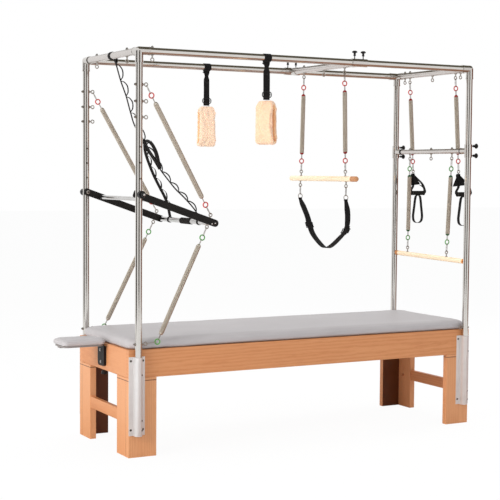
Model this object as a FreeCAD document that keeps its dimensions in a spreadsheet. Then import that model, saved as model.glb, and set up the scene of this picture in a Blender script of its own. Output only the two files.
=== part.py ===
import FreeCAD, Part
import math
import os
import re
import Sketcher
from FreeCAD import Placement, Rotation, Vector

# Pilates trapeze table: a padded wooden bed inside a four-post tube canopy,
# with a sliding trapeze, a push-through bar, roll-down and arm springs and two slings.
# Frame: X along the bed with the push-through bar at the low end, Y across it to the
# rear, Z up. The origin is on the floor under the middle of the bed. Millimetres.

os.makedirs("parts", exist_ok=True)
doc = FreeCAD.newDocument("trapeze_table")
sheet = doc.addObject("Spreadsheet::Sheet", "Sizes")

SIZES = [
    ("post_span_long", 2159, "post axis to post axis along the bed"),
    ("post_span_wide", 758, "post axis to post axis across the bed"),
    ("canopy_height", 2150, "floor to the axis of the top tubes"),
    ("tube_diameter", 38, "posts, top tubes and trapeze crossbar"),
    ("tube_wall", 2.5, "wall of every frame tube"),
    ("fit_gap", 0.05, "radial gap of a tube in its socket or a bolt in its hole"),
    ("slide_gap", 0.08, "radial gap of a sleeve that slides on a tube"),
    ("seat_gap", 0.3, "gap that keeps soft pieces off what carries them"),
    ("bed_past_post", 46, "end of the bed past the post axis"),
    ("bed_inside_post", 22, "side of the bed inside the post axis"),
    ("bed_long", "=post_span_long + 2 * bed_past_post", "length over the long wooden rails"),
    ("bed_wide", "=post_span_wide - 2 * bed_inside_post", "width over the wooden rails"),
    ("rail_thick", 36, "thickness of the bed rails and leg boards"),
    ("rail_tall", 151, "height of the bed rails"),
    ("leg_tall", 425, "floor to the underside of the bed rails"),
    ("leg_board", 162, "width of each leg board"),
    ("wood_round", 4, "rounding of the long wooden edges"),
    ("stretcher_low", 180, "floor to the underside of the end stretchers"),
    ("stretcher_tall", 65, "height of the end stretchers"),
    ("stretcher_thick", 28, "thickness of the end stretchers"),
    ("dowel_hole", 20, "cross dowel hole in the leg end boards"),
    ("dowel_height", 207, "floor to the cross dowel holes"),
    ("dowel_from_edge", 80, "cross dowel hole from the inner edge of the board"),
    ("dowel_depth", 12, "depth of the cross dowel holes"),
    ("deck_thick", 15, "bed board under the mattress"),

    ("mattress_thick", 50, "mattress"),
    ("mattress_inset", 4, "mattress side inside the wooden face"),
    ("mattress_corner", 60, "plan radius of the mattress corners"),
    ("mattress_crown", 4, "rise of the mattress at its middle"),
    ("holder_low", 119, "floor to the underside of the post holders"),
    ("holder_tall", 421, "height of the post holders"),
    ("holder_flange", 46, "half width of the holder flange"),
    ("holder_wall", 3, "wall of the post holders"),
    ("fitting_wall", 2.5, "wall of the corner fittings"),
    ("fitting_reach", 60, "corner fitting from the corner to its collar"),
    ("fitting_web", 22, "solid core of a corner fitting from its corner"),
    ("collar_long", 8, "thicker collar at each end of a fitting"),
    ("collar_rise", 1.2, "collar above the fitting"),
    ("bolt_diameter", 8, "eyebolt shank"),
    ("bolt_gap", 0.15, "radial gap of an eyebolt in its hole"),
    ("eye_radius", 9, "middle of an eyebolt ring"),
    ("eye_wire", 6, "wire diameter of an eyebolt ring"),
    ("eye_drop", 44, "tube axis to the eye below it"),
    ("post_eye_reach", 39.5, "post axis to the eye beside it"),
    ("nut_wide", 13, "eyebolt nut across its flats"),
    ("nut_tall", 6.5, "eyebolt nut"),
    ("bolt_proud", 3, "thread past the nut"),
    ("eye_high_drop", 175, "top tubes to the upper post eye"),
    ("eye_middle_drop", 262, "top tubes to the middle post eye"),
    ("eye_lower_drop", 345, "top tubes to the lower post eye"),
    ("eye_high", "=canopy_height - eye_high_drop", "upper post eye"),
    ("eye_middle", "=canopy_height - eye_middle_drop", "middle post eye"),
    ("eye_lower", "=canopy_height - eye_lower_drop", "lower post eye"),
    ("foot_eye_left_rise", 34, "foot eye of the left posts above the rails"),
    ("foot_eye_right_rise", 14, "foot eye of the right posts above the rails"),
    ("foot_eye_left", "=leg_tall + rail_tall + foot_eye_left_rise", "foot eye on the left posts"),
    ("foot_eye_right", "=leg_tall + rail_tall + foot_eye_right_rise", "foot eye on the right posts"),
    ("front_eye_from_post", 74.5, "eyebolt on the front top rail from the post"),
    ("front_rail_eye", "=post_span_long / 2 - front_eye_from_post", "the same from the middle"),
    ("left_eye_rear_in", 167, "rear eyebolt of the left top tube from the post"),
    ("left_eye_front_in", 162, "front eyebolt of the left top tube from the post"),
    ("left_tube_eye_rear", "=post_span_wide / 2 - left_eye_rear_in", "the rear one from the middle"),
    ("left_tube_eye_front", "=post_span_wide / 2 - left_eye_front_in", "the front one from the middle"),
    ("hook_rear_in", 92, "outer rear eyebolt of the right top tube from the post"),
    ("hook_front_in", 88, "outer front eyebolt of the right top tube from the post"),
    ("right_tube_hook_rear", "=post_span_wide / 2 - hook_rear_in", "the rear one from the middle"),
    ("right_tube_hook_front", "=post_span_wide / 2 - hook_front_in", "the front one from the middle"),
    ("right_tube_eye_middle", 8, "middle eyebolt of the right top tube"),
    ("link_wire", 3.2, "wire of a snap link"),
    ("link_wide", 13.4, "width over a snap link"),
    ("ring_radius", 14, "middle of a spring ring"),
    ("ring_wire", 5, "wire of a spring ring"),
    ("hook_wire", 3, "wire of the hook at the end of a spring"),
    ("thread_gap", 0.2, "gap where one wire hangs in another"),
    ("cap_from_ring", 39, "ring centre to the spring cap"),
    ("ring_from_eye", 64, "eye centre to ring centre"),
    ("cap_long", 12, "coloured cap of a spring"),
    ("cap_radius", 10, "coloured cap of a spring"),
    ("spring_radius", 12, "outside of a long spring"),
    ("leg_spring_radius", 10.5, "outside of a push-through bar spring"),
    ("spring_taper", 10, "tapered turns at each end of a spring"),
    ("slider_from_middle", 285, "trapeze crossbar from the middle of the bed"),
    ("slider_long", 105, "slider sleeve along the rail"),
    ("sleeve_wall", 4, "wall of the sliding sleeves"),
    ("branch_wall", 3.2, "wall of the branch sockets"),
    ("branch_long", 62, "branch socket of a sleeve from the sleeve axis"),
    ("slider_knob_side", 29, "slider knob from the middle of its sleeve"),
    ("slider_eye_in", 149, "outer eyebolts of the trapeze crossbar from the rail"),
    ("slider_eye_side", "=post_span_wide / 2 - slider_eye_in", "the same from the middle"),
    ("knob_cap_radius", 15.5, "clamp knob cap"),
    ("knob_cap_tall", 13, "clamp knob cap"),
    ("knob_neck_radius", 8, "clamp knob neck"),
    ("knob_neck_tall", 16.5, "clamp knob neck"),
    ("knob_stem_radius", 3, "clamp knob screw"),
    ("knob_stem_show", 16, "clamp knob screw between sleeve and neck"),
    ("trapeze_drop", 663, "top tubes to the trapeze bar axis"),
    ("trapeze_height", "=canopy_height - trapeze_drop", "floor to the trapeze bar axis"),
    ("trapeze_radius", 16, "trapeze bar"),
    ("trapeze_end_in", 3, "end of the trapeze bar from the rail axis"),
    ("trapeze_long", "=post_span_wide - 2 * trapeze_end_in", "trapeze bar"),
    ("trapeze_eye_in", 125, "spring eye of the trapeze bar from its end"),
    ("trapeze_eye_side", "=trapeze_long / 2 - trapeze_eye_in", "the same from the middle"),
    ("trapeze_eye_rise", 42, "bar axis to the spring eye above it"),
    ("strap_eye_in", 116, "strap eye of the trapeze bar from its end"),
    ("strap_eye_side", "=trapeze_long / 2 - strap_eye_in", "the same from the middle"),
    ("strap_eye_drop", 42, "bar axis to the strap eye below it"),
    ("strap_wide", 40, "foot strap webbing"),
    ("strap_thick", 3, "foot strap webbing"),
    ("buckle_long", 34, "buckle of the foot strap"),
    ("buckle_thick", 5, "buckle of the foot strap"),
    ("buckle_rim", 4, "buckle past each edge of the webbing"),
    ("buckle_rise", 2.5, "bend of the webbing under its buckle"),
    ("dee_drop", 67, "strap eye to its ring"),
    ("crossbar_drop", 490, "top tubes to the roll-down crossbar axis"),
    ("crossbar_height", "=canopy_height - crossbar_drop", "roll-down crossbar axis"),
    ("crossbar_radius", 15, "roll-down crossbar"),
    ("crossbar_sleeve_tall", 79, "sleeve of the roll-down crossbar"),
    ("crossbar_knob_up", 30, "upper knob above the crossbar axis"),
    ("crossbar_knob_down", 28, "lower knob below the crossbar axis"),
    ("crossbar_eye_in", 160, "spring eyebolts of the roll-down crossbar from the post"),
    ("crossbar_eye_side", "=post_span_wide / 2 - crossbar_eye_in", "the same from the middle"),
    ("crossbar_eye_middle", 7, "middle eyebolt of the roll-down crossbar"),
    ("rolldown_radius", 15, "roll-down bar"),
    ("rolldown_end_in", 23, "end of the roll-down bar from the post axis"),
    ("rolldown_long", "=post_span_wide - 2 * rolldown_end_in", "roll-down bar"),
    ("rolldown_drop", 662.5, "roll-down crossbar to the middle of its bar"),
    ("rolldown_height", "=crossbar_height - rolldown_drop", "roll-down bar axis at its middle"),
    ("rolldown_slope", 1.05, "tilt of the roll-down bar in degrees"),
    ("rolldown_rear_in", 125, "rear eye of the roll-down bar from its end"),
    ("rolldown_front_in", 175, "front eye of the roll-down bar from its end"),
    ("rolldown_eye_rear", "=rolldown_long / 2 - rolldown_rear_in", "the rear one from the middle"),
    ("rolldown_eye_front", "=rolldown_long / 2 - rolldown_front_in", "the front one from the middle"),
    ("rolldown_eye_rise", 42, "bar axis to the eye above it"),
    ("rolldown_groove", 20, "groove from each end of the roll-down bar"),
    ("rolldown_groove_deep", 1.2, "depth of that groove"),
    ("arm_rear_in", 147, "rear arm spring eye from the post"),
    ("arm_front_in", 137, "front arm spring eye from the post"),
    ("arm_eye_rear", "=post_span_wide / 2 - arm_rear_in", "the rear one from the middle"),
    ("arm_eye_front", "=post_span_wide / 2 - arm_front_in", "the front one from the middle"),
    ("arm_spring_lean", 3.6, "lean of the arm springs over the crossbar in degrees"),
    ("arm_chain_long", 572, "arm spring eye to its handle ring"),
    ("grip_radius", 14, "hand grip"),
    ("grip_long", 100, "hand grip"),
    ("grip_drop", 139, "handle ring to hand grip"),
    ("grip_out", 40, "hand grip outboard of its ring"),
    ("handle_web_wide", 25, "handle webbing"),
    ("handle_web_thick", 3, "handle webbing"),
    ("foot_loop_tall", 180, "lower loop of a handle"),
    ("foot_loop_wide", 76, "lower loop of a handle"),
    ("pivot_drop", 750, "top tubes to the push-through bar pivot"),
    ("pivot_height", "=canopy_height - pivot_drop", "push-through bar pivot"),
    ("pivot_pitch", 83.3, "step between the pivot holes of the posts"),
    ("pivot_bolt_radius", 5, "pivot bolt"),
    ("push_arm_long", 487.5, "pivot to the end tube"),
    ("push_arm_wide", 39, "push-through bar arm"),
    ("push_arm_thick", 10, "push-through bar arm"),
    ("push_arm_tail", 20, "arm past its pivot"),
    ("push_arm_from_post", 1, "arm to the post beside it"),
    ("push_slope", 18.8, "slope of the push-through bar at rest in degrees"),
    ("brace_from_pivot", 86, "pivot to the brace tube"),
    ("brace_radius", 12, "brace tube"),
    ("end_tube_radius", 15, "end tube"),
    ("push_eye_along", 447, "pivot to the spring eyes along the arm"),
    ("push_eye_side", 34, "spring eyes from the middle of the arm"),
    ("push_grip_radius", 18, "padded section of the end tube"),
    ("push_grip_long", 130, "padded section of the end tube"),
    ("push_nut_wide", 17, "nut of the pivot bolt across its flats"),
    ("push_nut_tall", 8, "nut of the pivot bolt"),
    ("pivot_knob_radius", 20, "knob of the pivot bolt"),
    ("pivot_knob_long", 30, "knob of the pivot bolt"),
    ("pivot_knob_end_radius", 12.5, "outer step of the pivot knob"),
    ("pivot_knob_end_long", 21, "outer step of the pivot knob"),
    ("safety_wide", 25, "safety strap webbing"),
    ("safety_thick", 3, "safety strap webbing"),
    ("safety_aside", 8, "safety strap in front of the middle"),
    ("foot_chain_in", 72, "foot eye to the lower ring of its spring"),
    ("sling_web_wide", 38, "sling strap webbing"),
    ("sling_web_thick", 3, "sling strap webbing"),
    ("sling_rear_from_middle", 308, "rear sling from the middle of the bed"),
    ("sling_front_from_middle", 318, "front sling from the middle of the bed"),
    ("sling_drop", 232, "top tubes to the top of the fleece loops"),
    ("sling_fleece_top", "=canopy_height - sling_drop", "top of the fleece loops"),
    ("sling_fleece_tall", 248, "fleece loops"),
    ("sling_fleece_wide", 112, "width of the fleece band"),
    ("sling_fleece_deep", 86, "fleece loops from band to band"),
    ("sling_fleece_thick", 22, "fleece band"),
    ("sling_neck", 34, "fleece loop at its top"),
    ("sling_shoulder", 40, "slope of the fleece loop below its top"),
    ("sling_rear_turn", -14, "turn of the rear loop about its strap in degrees"),
    ("sling_front_turn", -50, "turn of the front loop about its strap in degrees"),
    ("headrest_long", 258, "headrest pad along the bed"),
    ("headrest_wide", 182, "headrest pad across the bed"),
    ("headrest_thick", 28, "headrest pad"),
    ("headrest_crown", 3, "rise of the headrest pad"),
    ("headrest_corner", 30, "plan radius of the headrest pad"),
    ("headrest_from_bed", 12.5, "headrest pad from the end of the bed"),
    ("headrest_bottom", 577, "floor to the underside of the headrest pad"),
    ("headrest_board", 9, "board under the headrest pad"),
    ("headrest_board_inset", 12, "board edge inside the pad"),
    ("bracket_wide", 90, "bracket on the end rail"),
    ("bracket_low", 450, "floor to the underside of the bracket"),
    ("bracket_tall", 111, "height of the bracket"),
    ("bracket_thick", 15, "bracket off the end rail"),
    ("bracket_corner", 18, "lower corners of the bracket"),
    ("stem_wide", 40, "flat stem of the headrest"),
    ("stem_thick", 6, "flat stem of the headrest"),
    ("stem_gap", 0.3, "gap round the flat stem"),
    ("stem_floor", 8, "bracket below the flat stem"),
    ("end_knob_radius", 17.5, "knob under the end rail"),
    ("end_knob_tall", 23, "knob under the end rail"),
    ("end_knob_gap", 7, "knob below the end rail"),
    ("end_knob_side", 28, "knob from the middle of the end rail"),
    ("end_knob_bolt", 4, "screw of that knob"),
    ("end_knob_bite", 22, "depth of its screw in the end rail"),
]

for line, (alias, amount, note) in enumerate(SIZES, start=1):
    sheet.set("A%d" % line, note)
    sheet.set("B%d" % line, str(amount))
    sheet.setAlias("B%d" % line, alias)
doc.recompute()


class Values:
    pass


S = Values()
for alias, amount, note in SIZES:
    setattr(S, alias, float(sheet.get(alias)))

X_AXIS = Vector(1, 0, 0)
Y_AXIS = Vector(0, 1, 0)
Z_AXIS = Vector(0, 0, 1)
TURN = {
    "X": Rotation(Y_AXIS, 90),
    "Y": Rotation(X_AXIS, -90),
    "Z": Rotation(),
}
nodes = {}


def ex(text):
    """Size names become cells of the sheet."""
    return re.sub(r"[a-z_]+", lambda found: "Sizes." + found.group(0), text)


def move_to(item, x, y, z):
    item.setExpression("Placement.Base.x", ex(x))
    item.setExpression("Placement.Base.y", ex(y))
    item.setExpression("Placement.Base.z", ex(z))


def keep(item, label):
    item.Label = label
    nodes[label] = item
    return item


def plane_of(body, role):
    for item in body.Origin.OriginFeatures:
        if item.Role == role:
            return item


def sketch_on(body, role, name):
    sketch = body.newObject("Sketcher::SketchObject", name)
    sketch.AttachmentSupport = [(plane_of(body, role), "")]
    sketch.MapMode = "FlatFace"
    return sketch


def closed_outline(sketch, corners):
    """Straight sides through the corners, joined end to end. Returns the lines."""
    lines = []
    for start, end in zip(corners, corners[1:] + corners[:1]):
        lines.append(sketch.addGeometry(Part.LineSegment(Vector(*start, 0), Vector(*end, 0)), False))
    for first, second in zip(lines, lines[1:] + lines[:1]):
        sketch.addConstraint(Sketcher.Constraint("Coincident", first, 2, second, 1))
    return lines


def drive(sketch, kind, line, amount, text):
    """A length of the sketch that follows the sheet."""
    index = sketch.addConstraint(Sketcher.Constraint(kind, line, 1, line, 2, amount))
    sketch.setExpression("Constraints[%d]" % index, ex(text))


def edges_along(shape, direction):
    names = []
    for index, edge in enumerate(shape.Edges, start=1):
        if edge.Curve.TypeId != "Part::GeomLine":
            continue
        if abs(abs(edge.Curve.Direction.dot(direction)) - 1) < 1e-6:
            names.append("Edge%d" % index)
    return names


def board(label, long_x, wide_y, tall_z, x, y, z, grain):
    """A wooden board with its edges rounded along the grain."""
    body = doc.addObject("PartDesign::Body", label)
    sketch = sketch_on(body, "XY_Plane", label + "_outline")
    lines = closed_outline(sketch, [(0, 0), (100, 0), (100, 50), (0, 50)])
    sketch.addConstraint(Sketcher.Constraint("Coincident", lines[0], 1, -1, 1))
    sketch.addConstraint(Sketcher.Constraint("Horizontal", lines[0]))
    sketch.addConstraint(Sketcher.Constraint("Vertical", lines[1]))
    sketch.addConstraint(Sketcher.Constraint("Horizontal", lines[2]))
    sketch.addConstraint(Sketcher.Constraint("Vertical", lines[3]))
    drive(sketch, "DistanceX", lines[0], 100, long_x)
    drive(sketch, "DistanceY", lines[1], 50, wide_y)
    pad = body.newObject("PartDesign::Pad", label + "_pad")
    pad.Profile = sketch
    pad.setExpression("Length", ex(tall_z))
    doc.recompute()
    soft = body.newObject("PartDesign::Fillet", label + "_round")
    soft.Base = (pad, edges_along(pad.Shape, grain))
    soft.setExpression("Radius", ex("wood_round"))
    move_to(body, x, y, z)
    return body


def rod(name, radius, length, x, y, z, axis):
    item = doc.addObject("Part::Cylinder", name)
    item.setExpression("Radius", ex(radius))
    item.setExpression("Height", ex(length))
    item.Placement = Placement(Vector(), TURN[axis])
    move_to(item, x, y, z)
    return item


def block(name, long_x, wide_y, tall_z, x, y, z):
    item = doc.addObject("Part::Box", name)
    item.setExpression("Length", ex(long_x))
    item.setExpression("Width", ex(wide_y))
    item.setExpression("Height", ex(tall_z))
    move_to(item, x, y, z)
    return item


def cut(name, base, tools):
    """The base with every tool cut out of it."""
    if len(tools) > 1:
        tool = doc.addObject("Part::MultiFuse", name + "_cutters")
        tool.Shapes = tools
    else:
        tool = tools[0]
    item = doc.addObject("Part::Cut", name)
    item.Base = base
    item.Tool = tool
    return item


def tube(name, radius, length, x, y, z, axis, holes):
    """A round tube with cross holes."""
    outside = rod(name + "_outside", radius, length, x, y, z, axis)
    inside = rod(name + "_inside", radius + " - tube_wall", length, x, y, z, axis)
    return cut(name, outside, [inside] + holes)


def solid(label, shape):
    item = doc.addObject("Part::Feature", label)
    place = shape.Placement
    item.Shape = shape
    item.Placement = place
    return keep(item, label)


def group(label, shapes):
    return solid(label, Part.makeCompound(shapes))


def turned(points, start, direction):
    """A solid turned about the line from start along direction.
    Each point is a distance along that line and a radius."""
    outline = [Vector(radius, 0, along) for along, radius in points]
    wire = Part.makePolygon(outline + outline[:1])
    shape = Part.Face(wire).revolve(Vector(), Z_AXIS, 360)
    shape.Placement = Placement(start, Rotation(Z_AXIS, direction))
    return shape


def bent_wire(path, closed, wire, normal):
    """Six-sided wire along a flat path of straight runs with mitred corners."""
    sections = []
    last = len(path) - 1
    for index, spot in enumerate(path):
        before = spot - path[index - 1] if closed or index > 0 else None
        after = path[(index + 1) % len(path)] - spot if closed or index < last else None
        first = Vector(before or after).normalize()
        second = Vector(after or before).normalize()
        middle = (first + second).normalize()
        stretch = 1 / middle.dot(first)
        side = middle.cross(normal)
        section = []
        for flat in range(6):
            turn = math.radians(60 * flat)
            reach = side * (stretch * wire / 2 * math.cos(turn))
            section.append(spot + reach + normal * (wire / 2 * math.sin(turn)))
        sections.append(section)
    faces = []
    pairs = list(zip(sections, sections[1:]))
    if closed:
        pairs.append((sections[-1], sections[0]))
    else:
        for section in (sections[0], sections[-1]):
            faces.append(Part.Face(Part.makePolygon(section + section[:1])))
    for one, two in pairs:
        for flat in range(6):
            beside = (flat + 1) % 6
            corners = [one[flat], one[beside], two[beside], two[flat], one[flat]]
            faces.append(Part.Face(Part.makePolygon(corners)))
    shell = Part.makeShell(faces)
    shape = Part.makeSolid(shell)
    if shape.Volume < 0:
        shape.reverse()
    return shape


def wire_ring(centre, radius, wire, sides, toward, normal):
    """A ring about the normal whose sides touch the circle of that radius."""
    across = toward.cross(normal).normalize()
    up = normal.cross(across).normalize()
    corner = radius / math.cos(math.pi / sides)
    path = []
    for index in range(sides):
        turn = 2 * math.pi * (index + 0.5) / sides
        path.append(centre + up * (corner * math.cos(turn)) + across * (corner * math.sin(turn)))
    return bent_wire(path, True, wire, normal)


def nut(start, direction, wide, tall):
    outer = wide / math.sqrt(3)
    corners = [
        Vector(outer * math.cos(math.radians(60 * turn)), outer * math.sin(math.radians(60 * turn)), 0)
        for turn in range(7)
    ]
    shape = Part.Face(Part.makePolygon(corners)).extrude(Vector(0, 0, tall))
    shape.Placement = Placement(start, Rotation(Z_AXIS, direction))
    return shape


def eye_ring(eye, toward):
    return wire_ring(eye, S.eye_radius, S.eye_wire, 8, toward, Y_AXIS)


def eyebolt(eye, toward, to_surface, through):
    """An eye, its shank and a nut. The eye lies to_surface short of the wall it is
    bolted to, and the shank passes through that wall."""
    ring = eye_ring(eye, toward)
    inner = S.eye_radius - 1
    length = to_surface + through + S.nut_tall + S.bolt_proud - inner
    shank = Part.makeCylinder(S.bolt_diameter / 2, length, eye + toward * inner, toward)
    top_nut = nut(eye + toward * (to_surface + through), toward, S.nut_wide, S.nut_tall)
    return ring.fuse([shank, top_nut]).removeSplitter()


def bend_corners(tip, along, side, half):
    """Corners of a half round bend whose outermost centre point is the tip."""
    short = half * math.tan(math.radians(22.5))
    return [
        tip + along * (half - short) + side * half,
        tip + side * short,
        tip - side * short,
        tip + along * (half - short) - side * half,
    ]


def link_between(eye, ring):
    """A snap link from the hole of an eye to the hole of a ring."""
    along = (ring - eye).normalize()
    from_eye = S.eye_radius - S.eye_wire / 2 - S.link_wire / 2 - S.thread_gap
    from_ring = S.ring_radius - S.ring_wire / 2 - S.link_wire / 2 - S.thread_gap
    side = level_side(along)
    half = (S.link_wide - S.link_wire) / 2
    path = bend_corners(eye + along * from_eye, along, side, half)
    path += bend_corners(ring - along * from_ring, along * -1, side * -1, half)
    return bent_wire(path, True, S.link_wire, along.cross(side).normalize())


def level_side(along):
    """The sideways direction of a chain that hangs along that line."""
    side = Y_AXIS - along * along.dot(Y_AXIS)
    return side.normalize()


def spring_ring(centre, toward):
    return wire_ring(centre, S.ring_radius, S.ring_wire, 12, toward, level_side(toward))


def hook_to(ring, cap):
    """The wire loop from a ring down into the cap of its spring."""
    along = (cap - ring).normalize()
    side = level_side(along)
    half = S.ring_wire / 2 + S.hook_wire / 2 + S.thread_gap
    tip = ring + along * (S.ring_radius - half)
    length = (cap - tip).dot(along) + S.cap_long / 2
    bend = bend_corners(tip, along, side, half)
    path = [tip + along * length + side * half] + bend + [tip + along * length - side * half]
    return bent_wire(path, False, S.hook_wire, along.cross(side).normalize())


def spring_body(start, end, radius):
    """Spring barrel between its two caps, with a domed cap and tapered turns at each end."""
    along = end - start
    length = along.Length
    cap = []
    for step in range(4):
        turn = math.radians(30 * step)
        cap.append((S.cap_long * (1 - math.cos(turn)), max(S.cap_radius * math.sin(turn), 0)))
    far_cap = [(length - place, wide) for place, wide in reversed(cap)]
    near = (S.cap_long + S.spring_taper, radius)
    far = (length - S.cap_long - S.spring_taper, radius)
    return turned(cap + [near, far] + far_cap, start, along)


def hanging_spring(top_eye, low_eye, radius):
    """Link, ring, hook and spring from one eye to the next, in a straight line."""
    along = (low_eye - top_eye).normalize()
    top_ring = top_eye + along * S.ring_from_eye
    low_ring = low_eye - along * S.ring_from_eye
    top_cap = top_ring + along * S.cap_from_ring
    low_cap = low_ring - along * S.cap_from_ring
    body = spring_body(top_cap, low_cap, radius)
    body = body.fuse([hook_to(top_ring, top_cap), hook_to(low_ring, low_cap)]).removeSplitter()
    metal = [link_between(top_eye, top_ring), link_between(low_eye, low_ring)]
    return body, metal + [spring_ring(top_ring, along), spring_ring(low_ring, along)]


def knob(seat, outward):
    """Clamp knob: a screw from the seat, a conical neck and a mushroom cap."""
    neck = S.knob_stem_show
    cap = neck + S.knob_neck_tall
    top = cap + S.knob_cap_tall
    outline = [
        (-S.sleeve_wall, 0),
        (-S.sleeve_wall, S.knob_stem_radius),
        (neck, S.knob_stem_radius),
        (neck, S.knob_neck_radius),
        (cap - S.knob_neck_tall * 0.35, S.knob_neck_radius * 0.72),
        (cap, S.knob_neck_radius),
        (cap + S.knob_cap_tall * 0.12, S.knob_cap_radius * 0.94),
        (cap + S.knob_cap_tall * 0.4, S.knob_cap_radius),
        (cap + S.knob_cap_tall * 0.7, S.knob_cap_radius * 0.86),
        (top - S.knob_cap_tall * 0.07, S.knob_cap_radius * 0.5),
        (top, 0),
    ]
    return turned(outline, seat, outward)


def rounded_outline(long_x, wide_y, corner, middle, height):
    """A closed rounded rectangle of four lines and four quarter arcs at one height."""
    half_x = long_x / 2
    half_y = wide_y / 2
    bend = corner * math.sqrt(0.5)
    edges = []
    turns = ((1, 1), (-1, 1), (-1, -1), (1, -1))
    ends = []
    for sign_x, sign_y in turns:
        centre = Vector(sign_x * (half_x - corner), sign_y * (half_y - corner), 0)
        by_x = centre + Vector(sign_x * corner, 0, 0)
        by_y = centre + Vector(0, sign_y * corner, 0)
        between = centre + Vector(sign_x * bend, sign_y * bend, 0)
        first, last = (by_x, by_y) if sign_x == sign_y else (by_y, by_x)
        ends.append((first, between, last))
    for (first, between, last), (after, _, _) in zip(ends, ends[1:] + ends[:1]):
        edges.append(Part.Arc(first, between, last).toShape())
        edges.append(Part.LineSegment(last, after).toShape())
    wire = Part.Wire(edges)
    wire.translate(Vector(middle.x, middle.y, height))
    return wire


def cushion(long_x, wide_y, thick, crown, corner, middle, low):
    """A stuffed pad: full in the middle of its sides, drawn in above and below, crowned on top."""
    levels = (
        (0.0, 0.18),
        (0.14, 0.04),
        (0.45, 0.0),
        (0.78, 0.04),
        (0.95, 0.17),
    )
    wires = []
    for share, draw in levels:
        inset = draw * thick
        wires.append(
            rounded_outline(
                long_x - 2 * inset, wide_y - 2 * inset, corner - inset * 0.5, middle, low + share * thick
            )
        )
    inset = 0.9 * thick
    wires.append(
        rounded_outline(
            long_x - 2 * inset, wide_y - 2 * inset, corner - inset * 0.3, middle, low + thick + crown * 0.75
        )
    )
    inset = 0.4 * wide_y
    wires.append(
        rounded_outline(long_x - 2 * inset, wide_y - 2 * inset, corner * 0.4, middle, low + thick + crown)
    )
    return Part.makeLoft(wires, True, True)


def ribbon(points, thick, wide, across):
    """Webbing laid along a smooth line, wide along the across direction."""
    centre = Part.BSplineCurve()
    centre.interpolate(points)
    count = 3 * len(points)
    left = []
    right = []
    for step in range(count + 1):
        at = centre.FirstParameter + (centre.LastParameter - centre.FirstParameter) * step / count
        tangent = Vector(centre.tangent(at)[0])
        side = across.cross(tangent).normalize()
        spot = centre.value(at)
        left.append(spot + side * (thick / 2))
        right.append(spot - side * (thick / 2))
    outline = left + right[::-1]
    face = Part.Face(Part.makePolygon(outline + outline[:1]))
    face.translate(across * (-wide / 2))
    return face.extrude(across * wide)


# Places that several pieces share
post_x = S.post_span_long / 2
post_y = S.post_span_wide / 2
tube_r = S.tube_diameter / 2
bed_top = S.leg_tall + S.rail_tall

# Wooden bed
keep(
    board(
        "front_rail", "bed_long", "rail_thick", "rail_tall",
        "-bed_long / 2", "-bed_wide / 2", "leg_tall", X_AXIS,
    ),
    "front_rail",
)
keep(
    board(
        "rear_rail", "bed_long", "rail_thick", "rail_tall",
        "-bed_long / 2", "bed_wide / 2 - rail_thick", "leg_tall", X_AXIS,
    ),
    "rear_rail",
)
left_board = board(
    "left_end_board", "rail_thick", "bed_wide - 2 * rail_thick", "rail_tall",
    "-bed_long / 2", "-bed_wide / 2 + rail_thick", "leg_tall", Y_AXIS,
)
right_board = board(
    "right_end_board", "rail_thick", "bed_wide - 2 * rail_thick", "rail_tall",
    "bed_long / 2 - rail_thick", "-bed_wide / 2 + rail_thick", "leg_tall", Y_AXIS,
)
end_knob_hole = rod(
    "end_knob_hole", "end_knob_bolt + fit_gap", "end_knob_bite + fit_gap * 10",
    "-bed_long / 2 + rail_thick / 2", "end_knob_side", "leg_tall", "Z",
)
left_drilled = cut("left_end_board_drilled", left_board, [end_knob_hole])
end_boards = doc.addObject("Part::Compound", "end_rails")
end_boards.Links = [left_drilled, right_board]
keep(end_boards, "end_rails")


def leg(label, side_x, side_y):
    """Two boards joined in an L, with a cross dowel hole in the inner face of the end board."""
    body = doc.addObject("PartDesign::Body", label)
    sketch = sketch_on(body, "XY_Plane", label + "_outline")
    wide = S.leg_board
    thick = S.rail_thick
    corners = [(0, 0), (wide, 0), (wide, thick), (thick, thick), (thick, wide), (0, wide)]
    corners = [(-x * side_x, -y * side_y) for x, y in corners]
    lines = closed_outline(sketch, corners)
    for index in (0, 2, 4):
        sketch.addConstraint(Sketcher.Constraint("Horizontal", lines[index]))
    for index in (1, 3, 5):
        sketch.addConstraint(Sketcher.Constraint("Vertical", lines[index]))
    sketch.addConstraint(Sketcher.Constraint("Coincident", lines[0], 1, -1, 1))
    drive(sketch, "DistanceX", lines[0], -wide * side_x, "%d * leg_board" % -side_x)
    drive(sketch, "DistanceY", lines[1], -thick * side_y, "%d * rail_thick" % -side_y)
    drive(sketch, "DistanceX", lines[4], thick * side_x, "%d * rail_thick" % side_x)
    drive(sketch, "DistanceY", lines[5], wide * side_y, "%d * leg_board" % side_y)
    pad = body.newObject("PartDesign::Pad", label + "_pad")
    pad.Profile = sketch
    pad.setExpression("Length", ex("leg_tall"))
    doc.recompute()
    soft = body.newObject("PartDesign::Fillet", label + "_round")
    soft.Base = (pad, edges_along(pad.Shape, Z_AXIS))
    soft.setExpression("Radius", ex("wood_round / 2"))
    body.setExpression("Placement.Base.x", ex("%d * bed_long / 2" % side_x))
    body.setExpression("Placement.Base.y", ex("%d * bed_wide / 2" % side_y))
    face = "%d * (bed_long / 2 - rail_thick)" % side_x
    hole = rod(
        label + "_dowel_hole", "dowel_hole / 2", "dowel_depth",
        face + " - dowel_depth" if side_x < 0 else face,
        "%d * (bed_wide / 2 - leg_board + dowel_from_edge)" % side_y,
        "dowel_height", "X",
    )
    return keep(cut(label + "_drilled", body, [hole]), label)


leg("leg_front_left", -1, -1)
leg("leg_rear_left", -1, 1)
leg("leg_front_right", 1, -1)
leg("leg_rear_right", 1, 1)

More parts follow.
